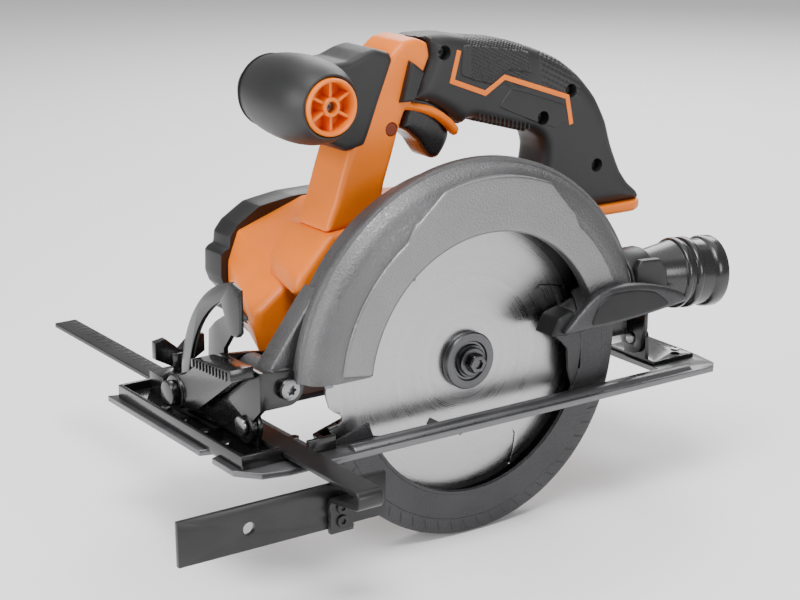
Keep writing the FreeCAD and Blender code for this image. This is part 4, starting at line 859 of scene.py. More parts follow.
@dataclass
class MainHandle(Assembly):
    """The rear grip, its orange front column and everything that sits in it."""

    near: float = 25.0
    far: float = 55.0
    middle: float = 40.0
    column: tuple[Pair, ...] = (
        (-63, 96.4), (-58, 110), (-53, 125), (-47, 141), (-39, 157.5), (-31, 169), (-25.5, 178), (-19, 183.2),
        (-11, 184.4), (-4.5, 181.6), (-3.2, 175), (-8.2, 164.4), (-13.6, 153.6), (-8, 152.2), (-1, 150.2),
        (5.5, 146.6), (11, 142.4), (14.6, 138.4), (15.0, 135.4), (12.6, 134.0), (8.6, 138.4), (3, 142.9),
        (-4, 146.6), (-11, 149.0), (-17.4, 150.0), (-21, 142), (-26, 126.6), (-29.8, 116), (-31.4, 108),
        (-31.5, 100.2),
    )
    grip: tuple[Pair, ...] = (
        (-9.5, 184.6), (8, 184.5), (24, 181.6), (44, 178.6), (63, 172.4), (79, 165.2), (92, 155.6),
        (103, 143.6), (110, 131), (114.6, 117), (121, 103), (127, 94.9), (133.4, 89.2), (134.4, 85.3),
        (96, 85.2), (57, 85.2), (61, 94), (65, 104.6), (67.6, 112), (68.6, 119.6), (67, 125.6), (61.5, 130.2),
        (49.4, 133.6), (31, 138.9), (22, 141.0), (17.6, 138.6), (15.8, 139.6), (11.6, 143.4), (5.6, 147.6),
        (-1, 151.2), (-8, 153.2), (-12.8, 154.4), (-7.4, 164.4), (-2.4, 175), (-3.6, 182.4),
    )
    bar: tuple[Pair, ...] = (
        (-31, 100.4), (-10, 99.6), (10.1, 98.3), (18, 91), (24.4, 84.3), (26.2, 78.3), (44, 78.3), (55, 84.4),
        (57, 86), (57.4, 96), (61.2, 105), (55, 106.2), (15, 106.1), (-12, 106.6), (-26.4, 108.6),
        (-30.6, 108),
    )
    stripe: tuple[Pair, ...] = ((13.6, 176.4), (9.4, 161.6), (29.6, 153.6), (41.4, 160.4), (81.5, 146.2),
                                (84.4, 131.6))
    screws: tuple[Pair, ...] = ((5, 176), (84, 149), (66, 137), (102, 108))
    plug: Pair = (-26, 142)
    paddle: tuple[Pair, ...] = ((-21.5, 155), (-14.5, 155), (-8.8, 168.5), (-16, 174))
    trigger: tuple[Pair, ...] = (
        (-13.2, 147.5), (-15.3, 140.6), (-10.9, 137.3), (-5.3, 132.2), (-1.2, 126.3), (1.2, 123.6),
        (3.4, 122.8), (6.5, 123.4), (10.2, 127.8), (12.6, 133), (12.6, 146), (4, 157), (-9, 157),
    )

    def build(self) -> None:
        """Make the column, grip, stripes, panels, ribs, buttons and screws."""
        near, far = self.near, self.far
        column = cushioned("handle_column", [curve_through(list(self.column), 0.2)], near, far, (2.6, 4.5))
        grip = cushioned("handle_grip", [curve_through(list(self.grip), 0.36)], near - 0.4, far + 0.4,
                         (7.0, 12.5))
        hole = cushioned("paddle_hole", [curve_through(self._grown(self.paddle, 0.63), 0, 4)], near - 4,
                         far + 4, (0.1, 0.1))
        well = drill(Axis.Y, self.plug, 3.6, near - 3, near + 1.2)
        self.keep(carved(column, hole, self._trigger_slot(), well), ORANGE, "handle_left")
        wells = [drill(Axis.Y, spot, 3.6, near - 3, near + 5) for spot in self.screws]
        self.keep(carved(grip, self._trigger_slot(), *wells), GRIP, "handle_right")
        self.plate("handle_lower_bar", self.bar, 0.3, (near + 0.4, far - 0.4), (4, 4), ORANGE)
        spots = [(-20, 152), (-12, 152), (6, 147), (15, 141), (25, 150), (25, 166), (-6, 170), (-22, 172),
                 (-28, 160)]
        lining = cushioned("handle_lining", [curve_through(spots, 0.2)], near + 4, far - 4, (1, 1))
        self.keep(carved(lining, block("lining_slot", (-17, 29, 118), (18, 51, 159.5), 0.1)), BLACK)
        self._stripes()
        self._panels()
        self._screws()
        self._buttons()

    def _trigger_slot(self) -> Thing:
        """A tool for the slot that the trigger moves in."""
        return block("trigger_slot", (-16, self.middle - 10, 118), (17, self.middle + 10, 156), 0.1)

    def _grown(self, outline: tuple[Pair, ...], by: float) -> list[Pair]:
        """An outline pushed outwards from its own centre."""
        centre = np.mean(outline, axis=0)
        spots = np.array(outline)
        away = spots - centre
        return [tuple(p) for p in spots + away / np.linalg.norm(away, axis=1)[:, None] * by]

    def _stripes(self) -> None:
        """The orange inlay on each side of the grip."""
        band = strip_along(self.stripe, 2.6, 1.2)
        for side, low, high in (("left", self.near - 0.75, self.near + 2),
                                ("right", self.far - 2, self.far + 0.75)):
            self.keep(cushioned(f"stripe_{side}", [band], low, high, (0.3, 0.3)), ORANGE)

    def _panels(self) -> None:
        """Raised soft panels on both sides, and the ribs under the grip."""
        crown = [(16.5, 178.6), (30, 176.8), (56, 171.6), (60, 160.4), (43.6, 163.8), (33, 157.6),
                 (15, 163.8), (14.8, 170)]
        lower = [(46, 154.2), (80, 142.4), (81.6, 134.6), (74, 131), (60, 136), (38, 145.8)]
        for side, low, high in (("left", self.near - 1.0, self.near + 3),
                                ("right", self.far - 3, self.far + 1.0)):
            self.plate(f"crown_panel_{side}", crown, 0.12, (low, high), (0.9, 0.9), GRIP)
            panel = cushioned(f"lower_panel_{side}", [curve_through(lower, 0.12)], low + 0.3, high - 0.3,
                              (0.8, 0.8))
            if side == "left":
                panel = carved(panel, drill(Axis.Y, (66, 137), 3.6, self.near - 3, self.near + 5))
            self.keep(panel, SOFT)
        section = [(-11, 0), (-10.4, 0.7), (-9, 1.0), (9, 1.0), (10.4, 0.7), (11, 0)]
        rib = lathe("rib", Axis.Y, (0, 0), section, 12)
        start, end, count = np.array((27.0, 140.0)), np.array((58.0, 131.0)), 13
        spots = [tuple(np.insert(start + (end - start) * k / (count - 1), 1, self.middle))
                 for k in range(count)]
        self.row("finger_ribs", rib, spots, SOFT)
        ridge = lathe("ridge", Axis.Z, (0, 0), [(-2.6, 0), (-2.2, 0.45), (2.2, 0.45), (2.6, 0)], 8)
        spots = [tuple((u, y, v + 2.2)) for u, _, v in spots for y in (self.near + 0.9, self.far - 0.9)]
        self.row("side_ridges", ridge, spots, SOFT)

    def _screws(self) -> None:
        """Silver screws in their wells, and the orange plug in the column."""
        spots = [(u, self.near + 4.2, v) for u, v in self.screws]
        self.row("grip_screws", screw_head(2.6, 1.4), spots, ZINC, "handle_screws", turns=TO_BLADE)
        section = ((0.2, 0), (0.2, 2.9), (0.7, 3.4), (2, 3.4), (2, 0))
        profile = [(self.near + along, reach) for along, reach in section]
        self.turned("column_plug", Axis.Y, self.plug, profile, PLUG, steps=40)

    def _buttons(self) -> None:
        """Trigger, its pin, and the lock-off paddle that shows on both sides."""
        middle = self.middle
        outline = curve_through(list(self.trigger), 0.34, 1.0)
        trigger = cushioned("trigger_lever", [outline], middle - 9, middle + 9, (3, 3))
        trigger = carved(trigger, drill(Axis.Y, (-3, 155), 2.05, 20, 60))
        self.keep(trigger, GLOSS_BLACK, "trigger", body="trigger")
        outline = curve_through(list(self.paddle), 0.08, 1.2)
        paddle = cushioned("lock_off_paddle", [outline], self.near - 3.4, self.far + 0.4, (1.2, 1.2))
        paddle = carved(paddle, block("paddle_gap", (-40, middle - 11.5, 150), (20, middle + 11.5, 163), 0.1))
        self.keep(paddle, BLACK, "lock_off_button", body="lock_off")
        self.soften("trigger_pin", ZINC, 0.2)
        self.soften("switch_module", BLACK, 0.5)
        self.soften("battery_terminals", ZINC, 0.1)
        foot = [(56.5, self.near + 1), (80, self.near - 0.2), (110, self.near - 1.6), (127, self.near - 2),
                (133.5, self.near + 2), (136.6, middle - 7), (137.4, middle), (136.6, middle + 7),
                (133.5, self.far - 2), (127, self.far + 2), (110, self.far + 1.6), (80, self.far + 0.2),
                (56.5, self.far - 1)]
        seat = cushioned("battery_foot", [curve_through(foot, 0.3)], 80, 85.3, (2.0, 0.8), "XY")
        channel = block("battery_channel", (78, middle - 10, 79), (141, middle + 10, 83), 0.1)
        self.keep(carved(seat, channel), ORANGE, "battery_seat")


@dataclass
class FrontGrip(Assembly):
    """The round auxiliary grip with its neck, orange cap and screw."""

    centre: Pair = (-69.5, 160.0)
    near: float = 10.0
    far: float = 84.0
    cells: int = 6

    def build(self) -> None:
        """Make the grip, the neck and the honeycomb cap."""
        near, far = self.near, self.far
        profile = [(near + 12, 0), (near + 12, 13.9), (near + 0.6, 13.9), (near, 14.5), (near + 0.2, 15.3)]
        for share, reach in ((0.04, 17.0), (0.10, 18.8), (0.18, 20.1), (0.27, 20.8), (0.36, 21.0),
                             (0.46, 20.7), (0.55, 20.1), (0.64, 19.1), (0.72, 17.7), (0.80, 15.6),
                             (0.87, 12.9), (0.93, 9.6), (0.97, 6.2), (0.99, 3.4), (1.0, 0.0)):
            profile.append((near + (far - near) * share, reach))
        self.turned("round_grip", Axis.Y, self.centre, profile, SOFT, "auxiliary_grip", steps=128)
        seam = [(far - 19.6, 16.8), (far - 19.2, 18.0), (far - 18.6, 17.9), (far - 18.2, 16.6)]
        self.turned("grip_seam", Axis.Y, self.centre, seam, BLACK)
        neck = [(-74, 151), (-64.5, 141.4), (-52, 134.2), (-41.4, 135.8), (-33, 155.2), (-24.8, 175.4),
                (-26.6, 179), (-34.4, 181.6), (-41.4, 180.4), (-50, 177.4), (-62, 176)]
        self.plate("grip_neck", neck, 0.2, (24.2, 55.8), (3.4, 5.5), SOFT, "auxiliary_neck")
        self._cap()

    def _cap(self) -> None:
        """The recessed orange cap: a rim, a hub and ribs between six cells."""
        near, centre = self.near, self.centre
        rim = [(near - 1.2, 11.6), (near - 1.9, 12.2), (near - 1.9, 13.0), (near - 1, 13.6),
               (near + 11, 13.6), (near + 11, 0), (near + 7.5, 0), (near + 7.5, 11.2)]
        hub = [(near + 8, 0), (near + 8, 4.9), (near - 0.4, 4.6), (near - 0.8, 4.2), (near - 0.8, 2.9),
               (near + 4.2, 2.9), (near + 4.2, 0)]
        whole = joined("grip_cap",
                       [lathe("rim", Axis.Y, centre, rim, 96), lathe("hub", Axis.Y, centre, hub, 48)])
        self.keep(whole, ORANGE, "grip_end_cap")
        rib = block("cap_rib", (4.2, -3.6, -0.7), (12.0, 4.2, 0.7), 0.25)
        spots = [(centre[0], near + 4.0, centre[1])] * self.cells
        turns = [(0, 60.0 * k + 30, 0) for k in range(self.cells)]
        self.row("cap_ribs", rib, spots, ORANGE, turns=turns)
        head = screw_head(2.6, 1.6)
        self.row("cap_screw", head, [(centre[0], near + 2.6, centre[1])], ZINC, "grip_screw", turns=TO_BLADE)


@dataclass
class Motor(Assembly):
    """The orange motor housing, its black end cap and the works inside."""

    axis: Pair = (-20.7, 45.4)

    def build(self) -> None:
        """Make the housing, the cap with its slots, and finish the inner pieces."""
        near_ring = [(-72.7, 71.8), (-94.0, 56.6), (-94.0, 49.7), (-89.6, 34.2), (-72, 24), (-45, 17.4),
                     (2, 17.6), (18, 34), (24, 60), (24, 84), (10, 98), (-30, 99.8)]
        far_ring = [(-70.6, 83.4), (-76.4, 68), (-76.6, 57.9), (-69.5, 36.4), (-59, 27), (-42, 20), (-2, 20),
                    (14, 34), (20, 58), (18, 80), (4, 93), (-32, 96.3)]
        inner_ring = [(x * 0.94 - 2, 58 + (z - 58) * 0.94) for x, z in near_ring]
        trunk = lofted("housing_trunk", [(43, inner_ring), (46, near_ring), (100.2, far_ring)], 1.6)
        self.keep(carved(trunk, drill(Axis.Y, self.axis, 29, 30, 60)), ORANGE, "motor_housing")
        shoulder = [(-63.4, 95.6), (-80.6, 77.4), (-83.4, 69), (-72, 65), (-40, 64), (22, 64.4), (24, 82),
                    (10, 97.8), (-30, 99.8)]
        rear = [(-64.4, 95.8), (-73.6, 80.6), (-74.6, 70), (-66, 66), (-40, 66), (20, 66), (21, 80), (8, 96),
                (-30, 98.6)]
        front = [(-62.4, 94.4), (-77.6, 77.6), (-80.6, 71), (-71, 67), (-40, 66), (20, 66.4), (22, 81),
                 (9, 96), (-30, 98)]
        self.keep(lofted("housing_shoulder", [(22.2, front), (25, shoulder), (62, rear)], 1.5), ORANGE)
        ring = [(44, 27), (42.4, 27.4), (42.4, 29.4), (46, 29.8), (46, 27)]
        self.turned("motor_ring", Axis.Y, self.axis, ring, BLACK)
        cap = [(-78.6, 54.6), (-80.6, 60), (-80.2, 71.6), (-77.6, 73.8), (-75.4, 74.6), (-74.6, 80.4),
               (-70, 86), (-57, 93.8), (-37, 96.6), (-10, 96.6), (6, 92), (16, 78), (18, 56), (13, 36),
               (0, 22.6), (-30, 18.8), (-54, 20), (-66, 33), (-71, 46)]
        end = cushioned("motor_cap", [curve_through(cap, 0.08)], 99.8, 121, (0.5, 6))
        slots = [block("vent", (-70 + 0.6 * (k - 3) ** 2, 117, 35 + 7.4 * k), (0, 124, 38.4 + 7.4 * k), 0.8)
                 for k in range(7)]
        self.keep(carved(end, *slots), BLACK, "motor_end_cap")
        spots = [(x, 119.4, z) for x, z in ((-70, 60), (9, 44), (4, 84))]
        self.row("cap_screws", screw_head(3.2, 3.0), spots, ZINC, "housing_screws", turns=TO_FAR_SIDE)
        slit = block("side_slit", (-0.5, -8, -1.0), (0.5, 8, 1.0), 0.4)
        spots = [(-84.6, 70, 45.5 + 4.2 * k) for k in range(3)]
        self.row("side_slits", slit, spots, BLACK)
        for node, finish, body in (("stator", CORE, ""), ("rotor_core", CORE, "rotor"),
                                   ("control_board", BLACK, ""), ("fan", BLACK, "rotor"),
                                   ("pinion_shaft", ZINC, "rotor"), ("motor_bearings", ZINC, "")):
            self.soften(node, finish, 0, body)


@dataclass
class UpperGuard(Assembly):
    """The cast guard over the blade with its panel, pivot lug and chute, and the gear case behind it."""

    inner: float = 91.5
    outer: float = 95.5
    face: float = 68.0
    near: float = -18.5
    far: float = 13.5

    def build(self) -> None:
        """Make the shell and its details."""
        inner, outer, near, far = self.inner, self.outer, self.near, self.far
        section = [
            (near + 0.5, self.face), (near, self.face + 0.6), (near, inner - 4.6), (near + 0.5, inner - 2.8),
            (near + 2, inner + 2.4), (near + 4, outer + 1.4), (near + 6, outer + 3.2),
            (near + 9, outer + 4.8), (near + 9.6, outer + 5.4), (near + 9.9, outer + 6.8),
            (near + 10.6, outer + 7), (near + 14.4, outer + 7), (near + 15.2, outer + 6.6),
            (near + 15.6, outer + 1.6), (near + 16.4, outer + 1.0), (far - 1.5, outer), (far, outer - 1.5),
            (far, 21.1), (far - 3, 21.1), (far - 3, inner), (near + 8, inner), (near + 3, inner - 5),
            (near + 3, self.face),
        ]
        shell = swept("guard_shell", ARBOR, section, 5, 175, 150)
        front = block("front_cut", (-150, -60, -60), (0, 60, 36.5), 0.1)
        rear = block("rear_cut", (-0.01, -60, -60), (150, 60, 51), 0.1)
        self.keep(carved(shell, front, rear), CAST, "upper_guard", angle=32)
        back = [(-45, 55), (-45, 8), (57, 8), (57, 55), (30, 56), (0, 60)]
        plate = cushioned("guard_back", [curve_through(back, 0.04)], far - 3, far, (0.3, 0.3))
        hole = drill(Axis.Y, ARBOR, 21.1, 0, 30)
        self.keep(carved(plate, hole, drill(Axis.Y, (45, 34.5), 3, 0, 30)), CAST)
        self._panel()
        self._lug()
        self._chute()
        self.soften_all(CAST, 0.5, "gear_case", "gear_cover")
        self.soften("guard_retaining_ring", OILED, 0)
        self.soften("guard_spring", OILED, 0.2)
        self.soften_all(ZINC, 0.3, "spindle_front_bearing", "spindle_rear_bearing")
        self.soften("guard_screws", ZINC, 0.2)
        self.soften("depth_lock_bolt", ZINC, 0.3)
        self.soften("spindle_lock", BLACK, 0.5, body="spindle_lock")

    def _arc(self, radius: float, start: float, end: float, count: int) -> list[Pair]:
        """Points along an arc about the arbor, in degrees."""
        return [(ARBOR[0] + radius * math.cos(a), ARBOR[1] + radius * math.sin(a))
                for a in np.radians(np.linspace(start, end, count))]

    def _panel(self) -> None:
        """The raised plain panel on the crown and the step round it, in a lighter finish that is a painted
        highlight, and the bright inner lip.
        """
        arcs = ((84.5, 172.4, 124, 24), (88.8, 118.5, 117, 2), (95.2, 106, 66.8, 16), (88.8, 56, 54.5, 2),
                (84.5, 49, 20.6, 14), (68.2, 20.6, 172.4, 60))
        raised = [spot for arc in arcs for spot in self._arc(*arc)]
        band = cushioned("guard_band", [curve_through(raised, 0.0, 1.6)], self.near - 1.4, self.near + 6,
                         (1.3, 0.5))
        # The band's lighter finish is a painted highlight on the raised band, not a different material.
        self.keep(band, PANEL_PAINTED_HIGHLIGHT)
        lip = [(self.near - 1.1, 68.6), (self.near - 1.3, 69.2), (self.near - 1.3, 70.4),
               (self.near - 1.0, 71.2), (self.near + 1, 71.2), (self.near + 1, 68.1), (self.near - 1, 68.1)]
        self.keep(swept("guard_lip", ARBOR, lip, 20.8, 172.2, 110), CAST)

    def _lug(self) -> None:
        """The pivot barrel at the front and its flank."""
        barrel = [(-1.8, 3.1), (-1.8, 8.0), (-1.2, 8.6), (29.2, 8.6), (29.8, 8.0), (29.8, 3.1)]
        self.turned("pivot_barrel", Axis.Y, DEPTH_PIVOT, barrel, CAST, steps=64)
        flank = [(-113.2, 38.2), (-108.6, 46), (-98, 60), (-84, 77.4), (-80.8, 73.4), (-90.4, 55), (-93, 44),
                 (-92.4, 35.4), (-97.8, 28.6), (-105, 26.4)]
        self.plate("pivot_flank", flank, 0.25, (0.2, 13.3), (1.4, 1.0), CAST)

    def _chute(self) -> None:
        """The chute that throws the dust into the nozzle."""
        chute = [(82, 11.5), (82, 14), (110.5, 14.4), (111.6, 15.2), (112.8, 15.2), (113, 14.6), (113, 11.5)]
        body = lathe("dust_chute", Axis.X, (2, 52), chute, 72)
        self.keep(carved(body, drill(Axis.Y, ARBOR, self.inner, -16, 10.4)), CAST)


@dataclass
class DustNozzle(Assembly):
    """The black nozzle on the chute and the clip that holds it."""

    origin: Triple = (113.2, 2.0, 52.0)
    yaw: float = -7.0
    pitch: float = 4.0

    def build(self) -> None:
        """Make the nozzle along X, then tilt it as the node is tilted."""
        profile = [
            (-0.2, 11.7), (-0.2, 12.6), (0.4, 13.0), (2, 13.2), (17.8, 16.9), (18.6, 17.2), (19.2, 18.2),
            (19.9, 18.6), (21.8, 18.7), (22.6, 18.2), (23.2, 17.4), (24.8, 17.3), (25.4, 18.2), (26.0, 18.7),
            (28.4, 18.8), (29.2, 18.3), (29.8, 17.5), (36.6, 17.4), (37.4, 18.2), (38.2, 18.7), (40, 18.85),
            (43.6, 18.85), (44.6, 18.4), (44.9, 17.6), (44.9, 16.2), (44.4, 15.6), (19, 15.5), (1, 11.8),
        ]
        tube = lathe("dust_tube", Axis.X, (0, 0), profile, 128)
        yaw = Matrix.Rotation(math.radians(self.yaw), 4, "Z")
        turn = yaw @ Matrix.Rotation(math.radians(self.pitch), 4, "Y")
        move = Matrix.Translation(Vector(self.origin) * MM) @ turn
        tube.data.transform(move)
        self.keep(tube, GLOSS_BLACK, "dust_nozzle")
        clip = [(97, 44), (97, 61), (100, 65.4), (113, 64.4), (117.6, 58), (118.4, 47), (114, 42), (104, 41)]
        self.plate("nozzle_clip", clip, 0.08, (-15.2, -10.6), (1.2, 0.6), BLACK)
        arm = [(99, 47), (99, 62.6), (112, 61.8), (115, 56), (115, 49), (110, 46)]
        self.plate("nozzle_clip_arm", arm, 0.08, (-11, -6), (0.8, 0.6), BLACK)
        knob = [(-16.6, 0), (-16.6, 2.2), (-16.0, 2.9), (-14, 2.9), (-14, 0)]
        self.turned("clip_screw", Axis.Y, (104.5, 46), knob, ZINC, steps=36)
        collar = [(96, 14.0), (96, 15.4), (97, 16.0), (111, 15.8), (112.6, 15.2), (112.9, 14.2)]
        self.turned("nozzle_collar", Axis.X, (2, 52), collar, BLACK, steps=72)


@dataclass
class Blade(Assembly):
    """The blade with its tips and slots, and what clamps it."""

    body: str = "arbor"
    radius: float = 82.5
    teeth: int = 24
    half: float = 0.55

    def build(self) -> None:
        """Make the disc, the tips, the bolt and the flanges."""
        self._disc()
        tip = block("tip", (-4.4, -0.85, -1.5), (0.3, 0.85, 0.1), 0.12)
        turn = 360 / self.teeth
        spots, turns = [], []
        for k in range(self.teeth):
            angle = math.radians((k - 0.03) * turn)
            reach = self.radius - 0.3
            spots.append((reach * math.cos(angle), 0, ARBOR[1] + reach * math.sin(angle)))
            turns.append((0, -(k - 0.03) * turn, 0))
        self.row("carbide_tips", tip, spots, CARBIDE, turns=turns)
        collar = [(-7.5, 0), (-7.0, 6.8), (-6.6, 7.3), (-5.0, 7.3), (-5.0, 4.0), (17.8, 4.0), (17.8, 0)]
        head = [(-11.3, 0), (-11.3, 4.6), (-10.7, 5.2), (-7.4, 5.2), (-7.4, 0)]
        hexagon = lathe("bolt_hexagon", Axis.Y, ARBOR, head, 6)
        shank = lathe("bolt_collar", Axis.Y, ARBOR, collar, 64)
        socket = lathe("drill", Axis.Y, ARBOR, [(-14, 0), (-14, 2.6), (-10, 2.6), (-10, 0)], 6)
        self.keep(joined("clamping_bolt", [carved(bevelled(hexagon, 0.3), socket), shank]), OILED,
                  "blade_bolt", angle=30)
        flange = [(-0.6, 4.3), (-0.6, 14.3), (-0.9, 14.5), (-3.8, 14.5), (-4.4, 13.9), (-4.4, 10.2),
                  (-3.4, 9.6), (-3.4, 8.6), (-4.9, 8.0), (-4.9, 4.3)]
        self.turned("clamping_flange", Axis.Y, ARBOR, flange, OILED, "outer_flange")
        self.soften_all(OILED, 0, "inner_flange", "spindle", "drive_gear")

    def _disc(self) -> None:
        """A toothed disc with four curved slots, and a plain arrow for its turn."""
        turn = 2 * math.pi / self.teeth
        outline = []
        for tooth in range(self.teeth):
            for depth, share in ((0.2, 0.0), (1.0, 0.22), (2.0, 0.46), (4.4, 0.60), (7.0, 0.70), (8.2, 0.80),
                                 (7.4, 0.895), (4.6, 0.945), (1.4, 0.965)):
                angle = (tooth + share) * turn
                reach = self.radius - depth
                outline.append((reach * math.cos(angle), ARBOR[1] + reach * math.sin(angle)))
        slots = []
        for quarter in range(4):
            slot = []
            for side in (1, -1):
                steps = np.linspace(0, 1, 9)[::side]
                for t in steps:
                    reach = self.radius - 16 - 12 * t
                    angle = math.radians(90 * quarter + 24 + 10 * t) + side * 0.45 / reach
                    slot.append((reach * math.cos(angle), ARBOR[1] + reach * math.sin(angle)))
            slots.append(np.array(slot))
        disc = cushioned("blade_disc", [np.array(outline), *slots], -self.half, self.half, (0.08, 0.08))
        self.keep(disc, BLADE, "blade", angle=25)
        arrow = [(-22, -29), (-12, -35), (-2, -37), (-2, -39.4), (8, -34.4), (-2, -30.6), (-2, -33.2),
                 (-11, -31.4), (-20, -26)]
        drawn = [(x - 2, z + ARBOR[1]) for x, z in arrow]
        self.keep(cushioned("turn_arrow", [curve_through(drawn, 0.1, 1.0)], -self.half - 0.04,
                            -self.half + 0.1, (0.02, 0.02)), INK)


@dataclass
class SwingGuard(Assembly):
    """The retracting lower guard, its depth marks and its lever."""

    body: str = "swing_guard"
    inner: float = 65.5
    outer: float = 88.0
    near: float = -9.0
    far: float = 8.5
    start: float = 196.0
    end: float = 384.0

    def build(self) -> None:
        """Make the drum, its marks and the lever."""
        near, far, inner, outer = self.near, self.far, self.inner, self.outer
        drum = [
            (near + 0.3, inner), (near, inner + 0.4), (near, outer - 8.4), (near + 0.5, outer - 7.8),
            (near + 0.5, outer - 1.6), (near + 0.9, outer - 0.5), (near + 1.8, outer), (far - 1, outer),
            (far, outer - 1), (far, 21.1), (far - 1.6, 21.1), (far - 1.6, outer - 2.5),
            (near + 1.8, outer - 2.5), (near + 1.8, inner),
        ]
        self.keep(swept("guard_drum", ARBOR, drum, self.start, self.end, 150), GUARD, "lower_guard", angle=30)
        hub = [(far - 1.6, 21.1), (far, 21.1), (far, 26), (far - 1.6, 26)]
        self.turned("guard_hub", Axis.Y, ARBOR, hub, GUARD)
        web = [(48, 33.6), (53, 29.6), (57.4, 24.6), (57.8, 14), (61, 4), (66, 12), (66.4, 24), (63.8, 41),
               (60, 51.4), (47.6, 46.6), (45, 40)]
        self.plate("guard_web", web, 0.06, (near, near + 1.6), (0.4, 0.3), GUARD)
        edge = [(near - 0.35, inner + 0.2), (near - 0.35, inner + 1.6), (near + 0.2, inner + 2.0),
                (near + 0.2, inner)]
        self.keep(swept("guard_edge", ARBOR, edge, self.start, 347, 110), GUARD)
        tick = block("mark", (-2.6, -0.06, -0.28), (2.6, 0.06, 0.28), 0.02)
        angles = [204 + 5.6 * k for k in range(26)]
        spots = [(83.6 * math.cos(math.radians(a)), near + 0.46,
                  ARBOR[1] + 83.6 * math.sin(math.radians(a))) for a in angles]
        self.row("depth_marks", tick, spots, INK, turns=[(0, -a - 28, 0) for a in angles])
        self._lever()

    def _lever(self) -> None:
        """The finger lever with its block and pad."""
        arm = [(42.5, 39.4), (56, 39.2), (72, 39.2), (88, 40), (104, 41.4), (116, 42.6), (121.6, 43.6),
               (119.4, 47.6), (112, 51.4), (102, 54.8), (93, 57), (82, 58.3), (70, 58.2), (62, 55.8),
               (56, 52), (48.4, 45.6)]
        self.plate("guard_arm", arm, 0.3, (-27.4, -20.1), (2.6, 2.6), GUARD, "guard_lever", angle=50)
        foot = [(36.4, 38.4), (48, 37.4), (52.6, 43), (49.6, 49.2), (41, 46.8)]
        self.plate("guard_arm_foot", foot, 0.15, (-23, -9.05), (1.5, 0.4), GUARD_RIM)
        pad = [(58, 42), (76, 41.6), (96, 42.6), (108, 44.4), (99, 52), (86, 55.2), (70, 55.6), (62, 51)]
        self.plate("guard_arm_pad", pad, 0.3, (-28.0, -25), (0.6, 0.4), GUARD_RIM)


@dataclass
class Sole(Assembly):
    """The sole with its brackets, quadrant and fasteners."""

    body: str = "shoe"

    def build(self) -> None:
        """Round the edges of the plate and stampings, and set the rivets."""
        self.soften("sole_plate", SOLE, 0.7)
        self.soften_all(STAMPED, 0.5, "front_channel", "fence_strap")
        self.soften("bevel_quadrant", STAMPED, 0.45)
        self.soften("rear_bracket", STAMPED, 0.5)
        self.soften("bevel_pins", ZINC, 0.4)
        spots = [(-126, y, 6.3) for y in (18, 38, 58, 78)] + [(-97, 4, 6.9), (138.5, 0, 8.2)]
        self.row("sole_rivets", screw_head(2.6, 1.4), spots, ZINC, "sole_fasteners")
        marks = [(x, -20.5, 3.25) for x in range(-70, 125, 10)]
        tick = block("sole_mark", (-0.25, -1.6, -0.1), (0.25, 1.6, 0.1), 0.02)
        self.row("sole_marks", tick, marks, INK)


@dataclass
class Fence(Assembly):
    """The rip fence and the wing screw that clamps it."""

    body: str = "fence"
    middle: float = -106.5

    def build(self) -> None:
        """Bend the bar, round its plate, set the rivets, and mark the bar's scale with ticks."""
        turn = [(-73.4 - 2.4 * math.sin(a), 3.0 + 3.3 * math.cos(a)) for a in np.linspace(0, math.pi, 9)]
        path = [(234.9, 6.45), *turn, (-56, -2.8), (-52.4, -3.6), (-51.3, -6.4), (-51.25, -19.9)]
        outline = strip_along(path, 2.4, 3.0)
        bar = cushioned("bent_bar", [outline], self.middle - 6.5, self.middle + 6.5, (0.5, 0.5), "YZ")
        self.keep(bar, FENCE, "fence_bar")
        self.soften("fence_plate", FENCE, 0.4)
        spots = [(-106.5, -53.8, z) for z in (-8, -14.5)]
        self.row("plate_rivets", screw_head(2.9, 1.3), spots, FENCE, "fence_rivets", turns=TO_BLADE)
        tick = block("scale_mark", (-3.2, -0.2, -0.05), (3.2, 0.2, 0.05), 0.01)
        places = [(-104.5, y, 7.72) for y in range(115, 232, 6)]
        self.row("fence_scale", tick, places, ZINC)
        self.soften("fence_screw", STAMPED, 0.9, body="fence_clamp")


@dataclass
class BevelFrame(Assembly):
    """The yoke, the depth bracket, their bolts and the two clamping levers."""

    body: str = "bevel_frame"

    def build(self) -> None:
        """Round every stamping, set the pivot's head, and rib the lever's pad."""
        self.soften("front_yoke", STAMPED, 0.5)
        self.soften("depth_bracket", STAMPED, 0.4)
        self.soften("frame_nuts", ZINC, 0.3)
        self.soften("bevel_lock_bolt", STAMPED, 0.5)
        shank = lathe("pivot_shank", Axis.Y, DEPTH_PIVOT, [(-5, 0), (-5, 3), (37.4, 3), (37.4, 0)], 40)
        spot = (DEPTH_PIVOT[0], -8.2, DEPTH_PIVOT[1])
        head = repeated("pivot_head", screw_head(5.2, 3.1), [spot], [TO_BLADE], ZINC)
        self.keep(joined("depth_pivot", [shank, head]), ZINC, "depth_pivot_bolt")
        self.soften("bevel_lever", STAMPED, 1.0, body="bevel_clamp")
        self.soften("depth_lever", STAMPED, 0.9, body="depth_clamp")
        rib = block("pad_rib", (-0.5, -0.6, -2.2), (0.5, 0.6, 2.2), 0.25)
        spots = [(-134.2, 1 + 3.1 * k, 44.3 - 0.15 * k) for k in range(11)]
        self.row("lever_ribs", rib, spots, STAMPED, body="bevel_clamp")


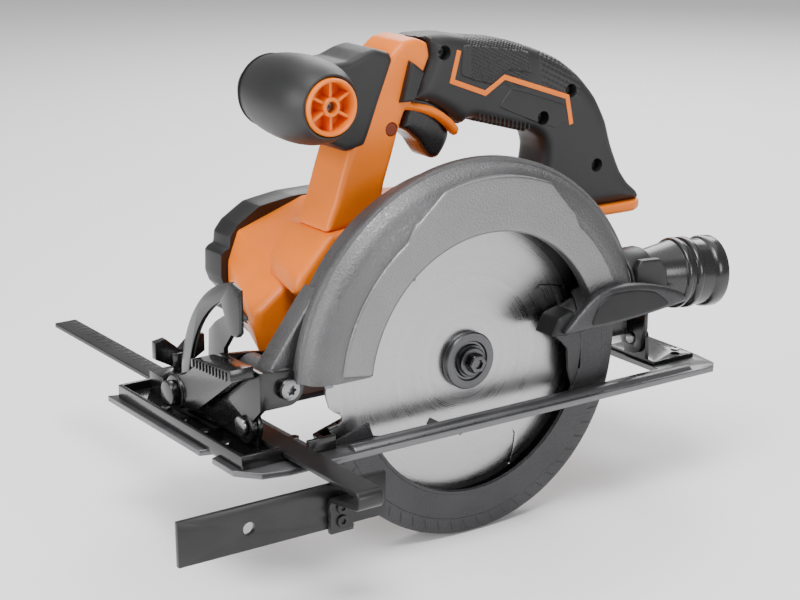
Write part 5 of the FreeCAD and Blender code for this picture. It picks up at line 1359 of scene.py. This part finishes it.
@dataclass
class Studio:
    """The floor, the lights, the world and the camera."""

    camera_at: Triple = (-549.4, -753.2, 332.3)
    target: Triple = (-38.75, 0.0, 64.8)
    roll: float = -0.36
    lens: float = 89.34
    white: Triple = (0.98, 0.98, 0.98)
    skylight: float = 0.36
    lamps: list = field(default_factory=lambda: [
        ("key", (-500, -500, 1500), 0.8, 26.0), ("side", (-1300, 100, 500), 0.7, 12.0),
        ("rear", (900, 900, 900), 0.9, 16.0), ("front", (300, -1400, 500), 0.5, 7.0),
        ("sheet", (100, 100, 1300), 1.6, 10.0),
    ])

    def build(self, lowest: float) -> None:
        """Set the stage round the saw.

        Args:
            lowest: height of the saw's lowest point in metres.
        """
        corners = [(-4e3, -4e3, 0), (4e3, -4e3, 0), (4e3, 4e3, 0), (-4e3, 4e3, 0)]
        floor = new_object("floor", corners, [(0, 1, 2, 3)])
        floor.data.transform(Matrix.Translation((0, 0, lowest - 0.0006)))
        paint = bpy.data.materials.new("pale floor")
        paint.use_nodes = True
        surface = paint.node_tree.nodes["Principled BSDF"]
        surface.inputs["Base Color"].default_value = (*self.white, 1)
        surface.inputs["Roughness"].default_value = 0.7
        floor.data.materials.append(paint)
        floor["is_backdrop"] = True
        world = bpy.data.worlds.new("studio")
        bpy.context.scene.world = world
        world.use_nodes = True
        sky = world.node_tree.nodes["Background"]
        sky.inputs["Color"].default_value = (1.0, 1.0, 1.0, 1)
        sky.inputs["Strength"].default_value = self.skylight
        for name, spot, size, power in self.lamps:
            light = bpy.data.lights.new(name, "AREA")
            light.size = size
            light.energy = power
            lamp = bpy.data.objects.new(name, light)
            lamp.location = Vector(spot) * MM
            lamp.rotation_euler = (Vector((0, 0, 60)) - Vector(spot)).to_track_quat("-Z", "Y").to_euler()
            bpy.context.scene.collection.objects.link(lamp)
        self._camera()

    def _camera(self) -> None:
        """The camera, level but for a slight roll."""
        lens = bpy.data.cameras.new("camera")
        lens.lens = self.lens
        lens.sensor_width = 36
        lens.clip_end = 20
        camera = bpy.data.objects.new("camera", lens)
        aim = (Vector(self.target) - Vector(self.camera_at)).to_track_quat("-Z", "Y")
        turn = Matrix.Rotation(math.radians(self.roll), 4, "Z")
        place = Matrix.Translation(Vector(self.camera_at) * MM)
        camera.matrix_world = place @ aim.to_matrix().to_4x4() @ turn
        bpy.context.scene.collection.objects.link(camera)
        bpy.context.scene.camera = camera


def main() -> None:
    """Load the frame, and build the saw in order."""
    logging.basicConfig(level=logging.INFO, format="%(message)s")
    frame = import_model()
    nodes.update(frame["nodes"])
    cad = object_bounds()
    Studio().build(cad[0][2])
    for assembly in (Sole(), Fence(), BevelFrame(), UpperGuard(), DustNozzle(), Blade(), SwingGuard(),
                     Motor(), MainHandle(), FrontGrip()):
        assembly.build()


if __name__ == "__main__":
    main()
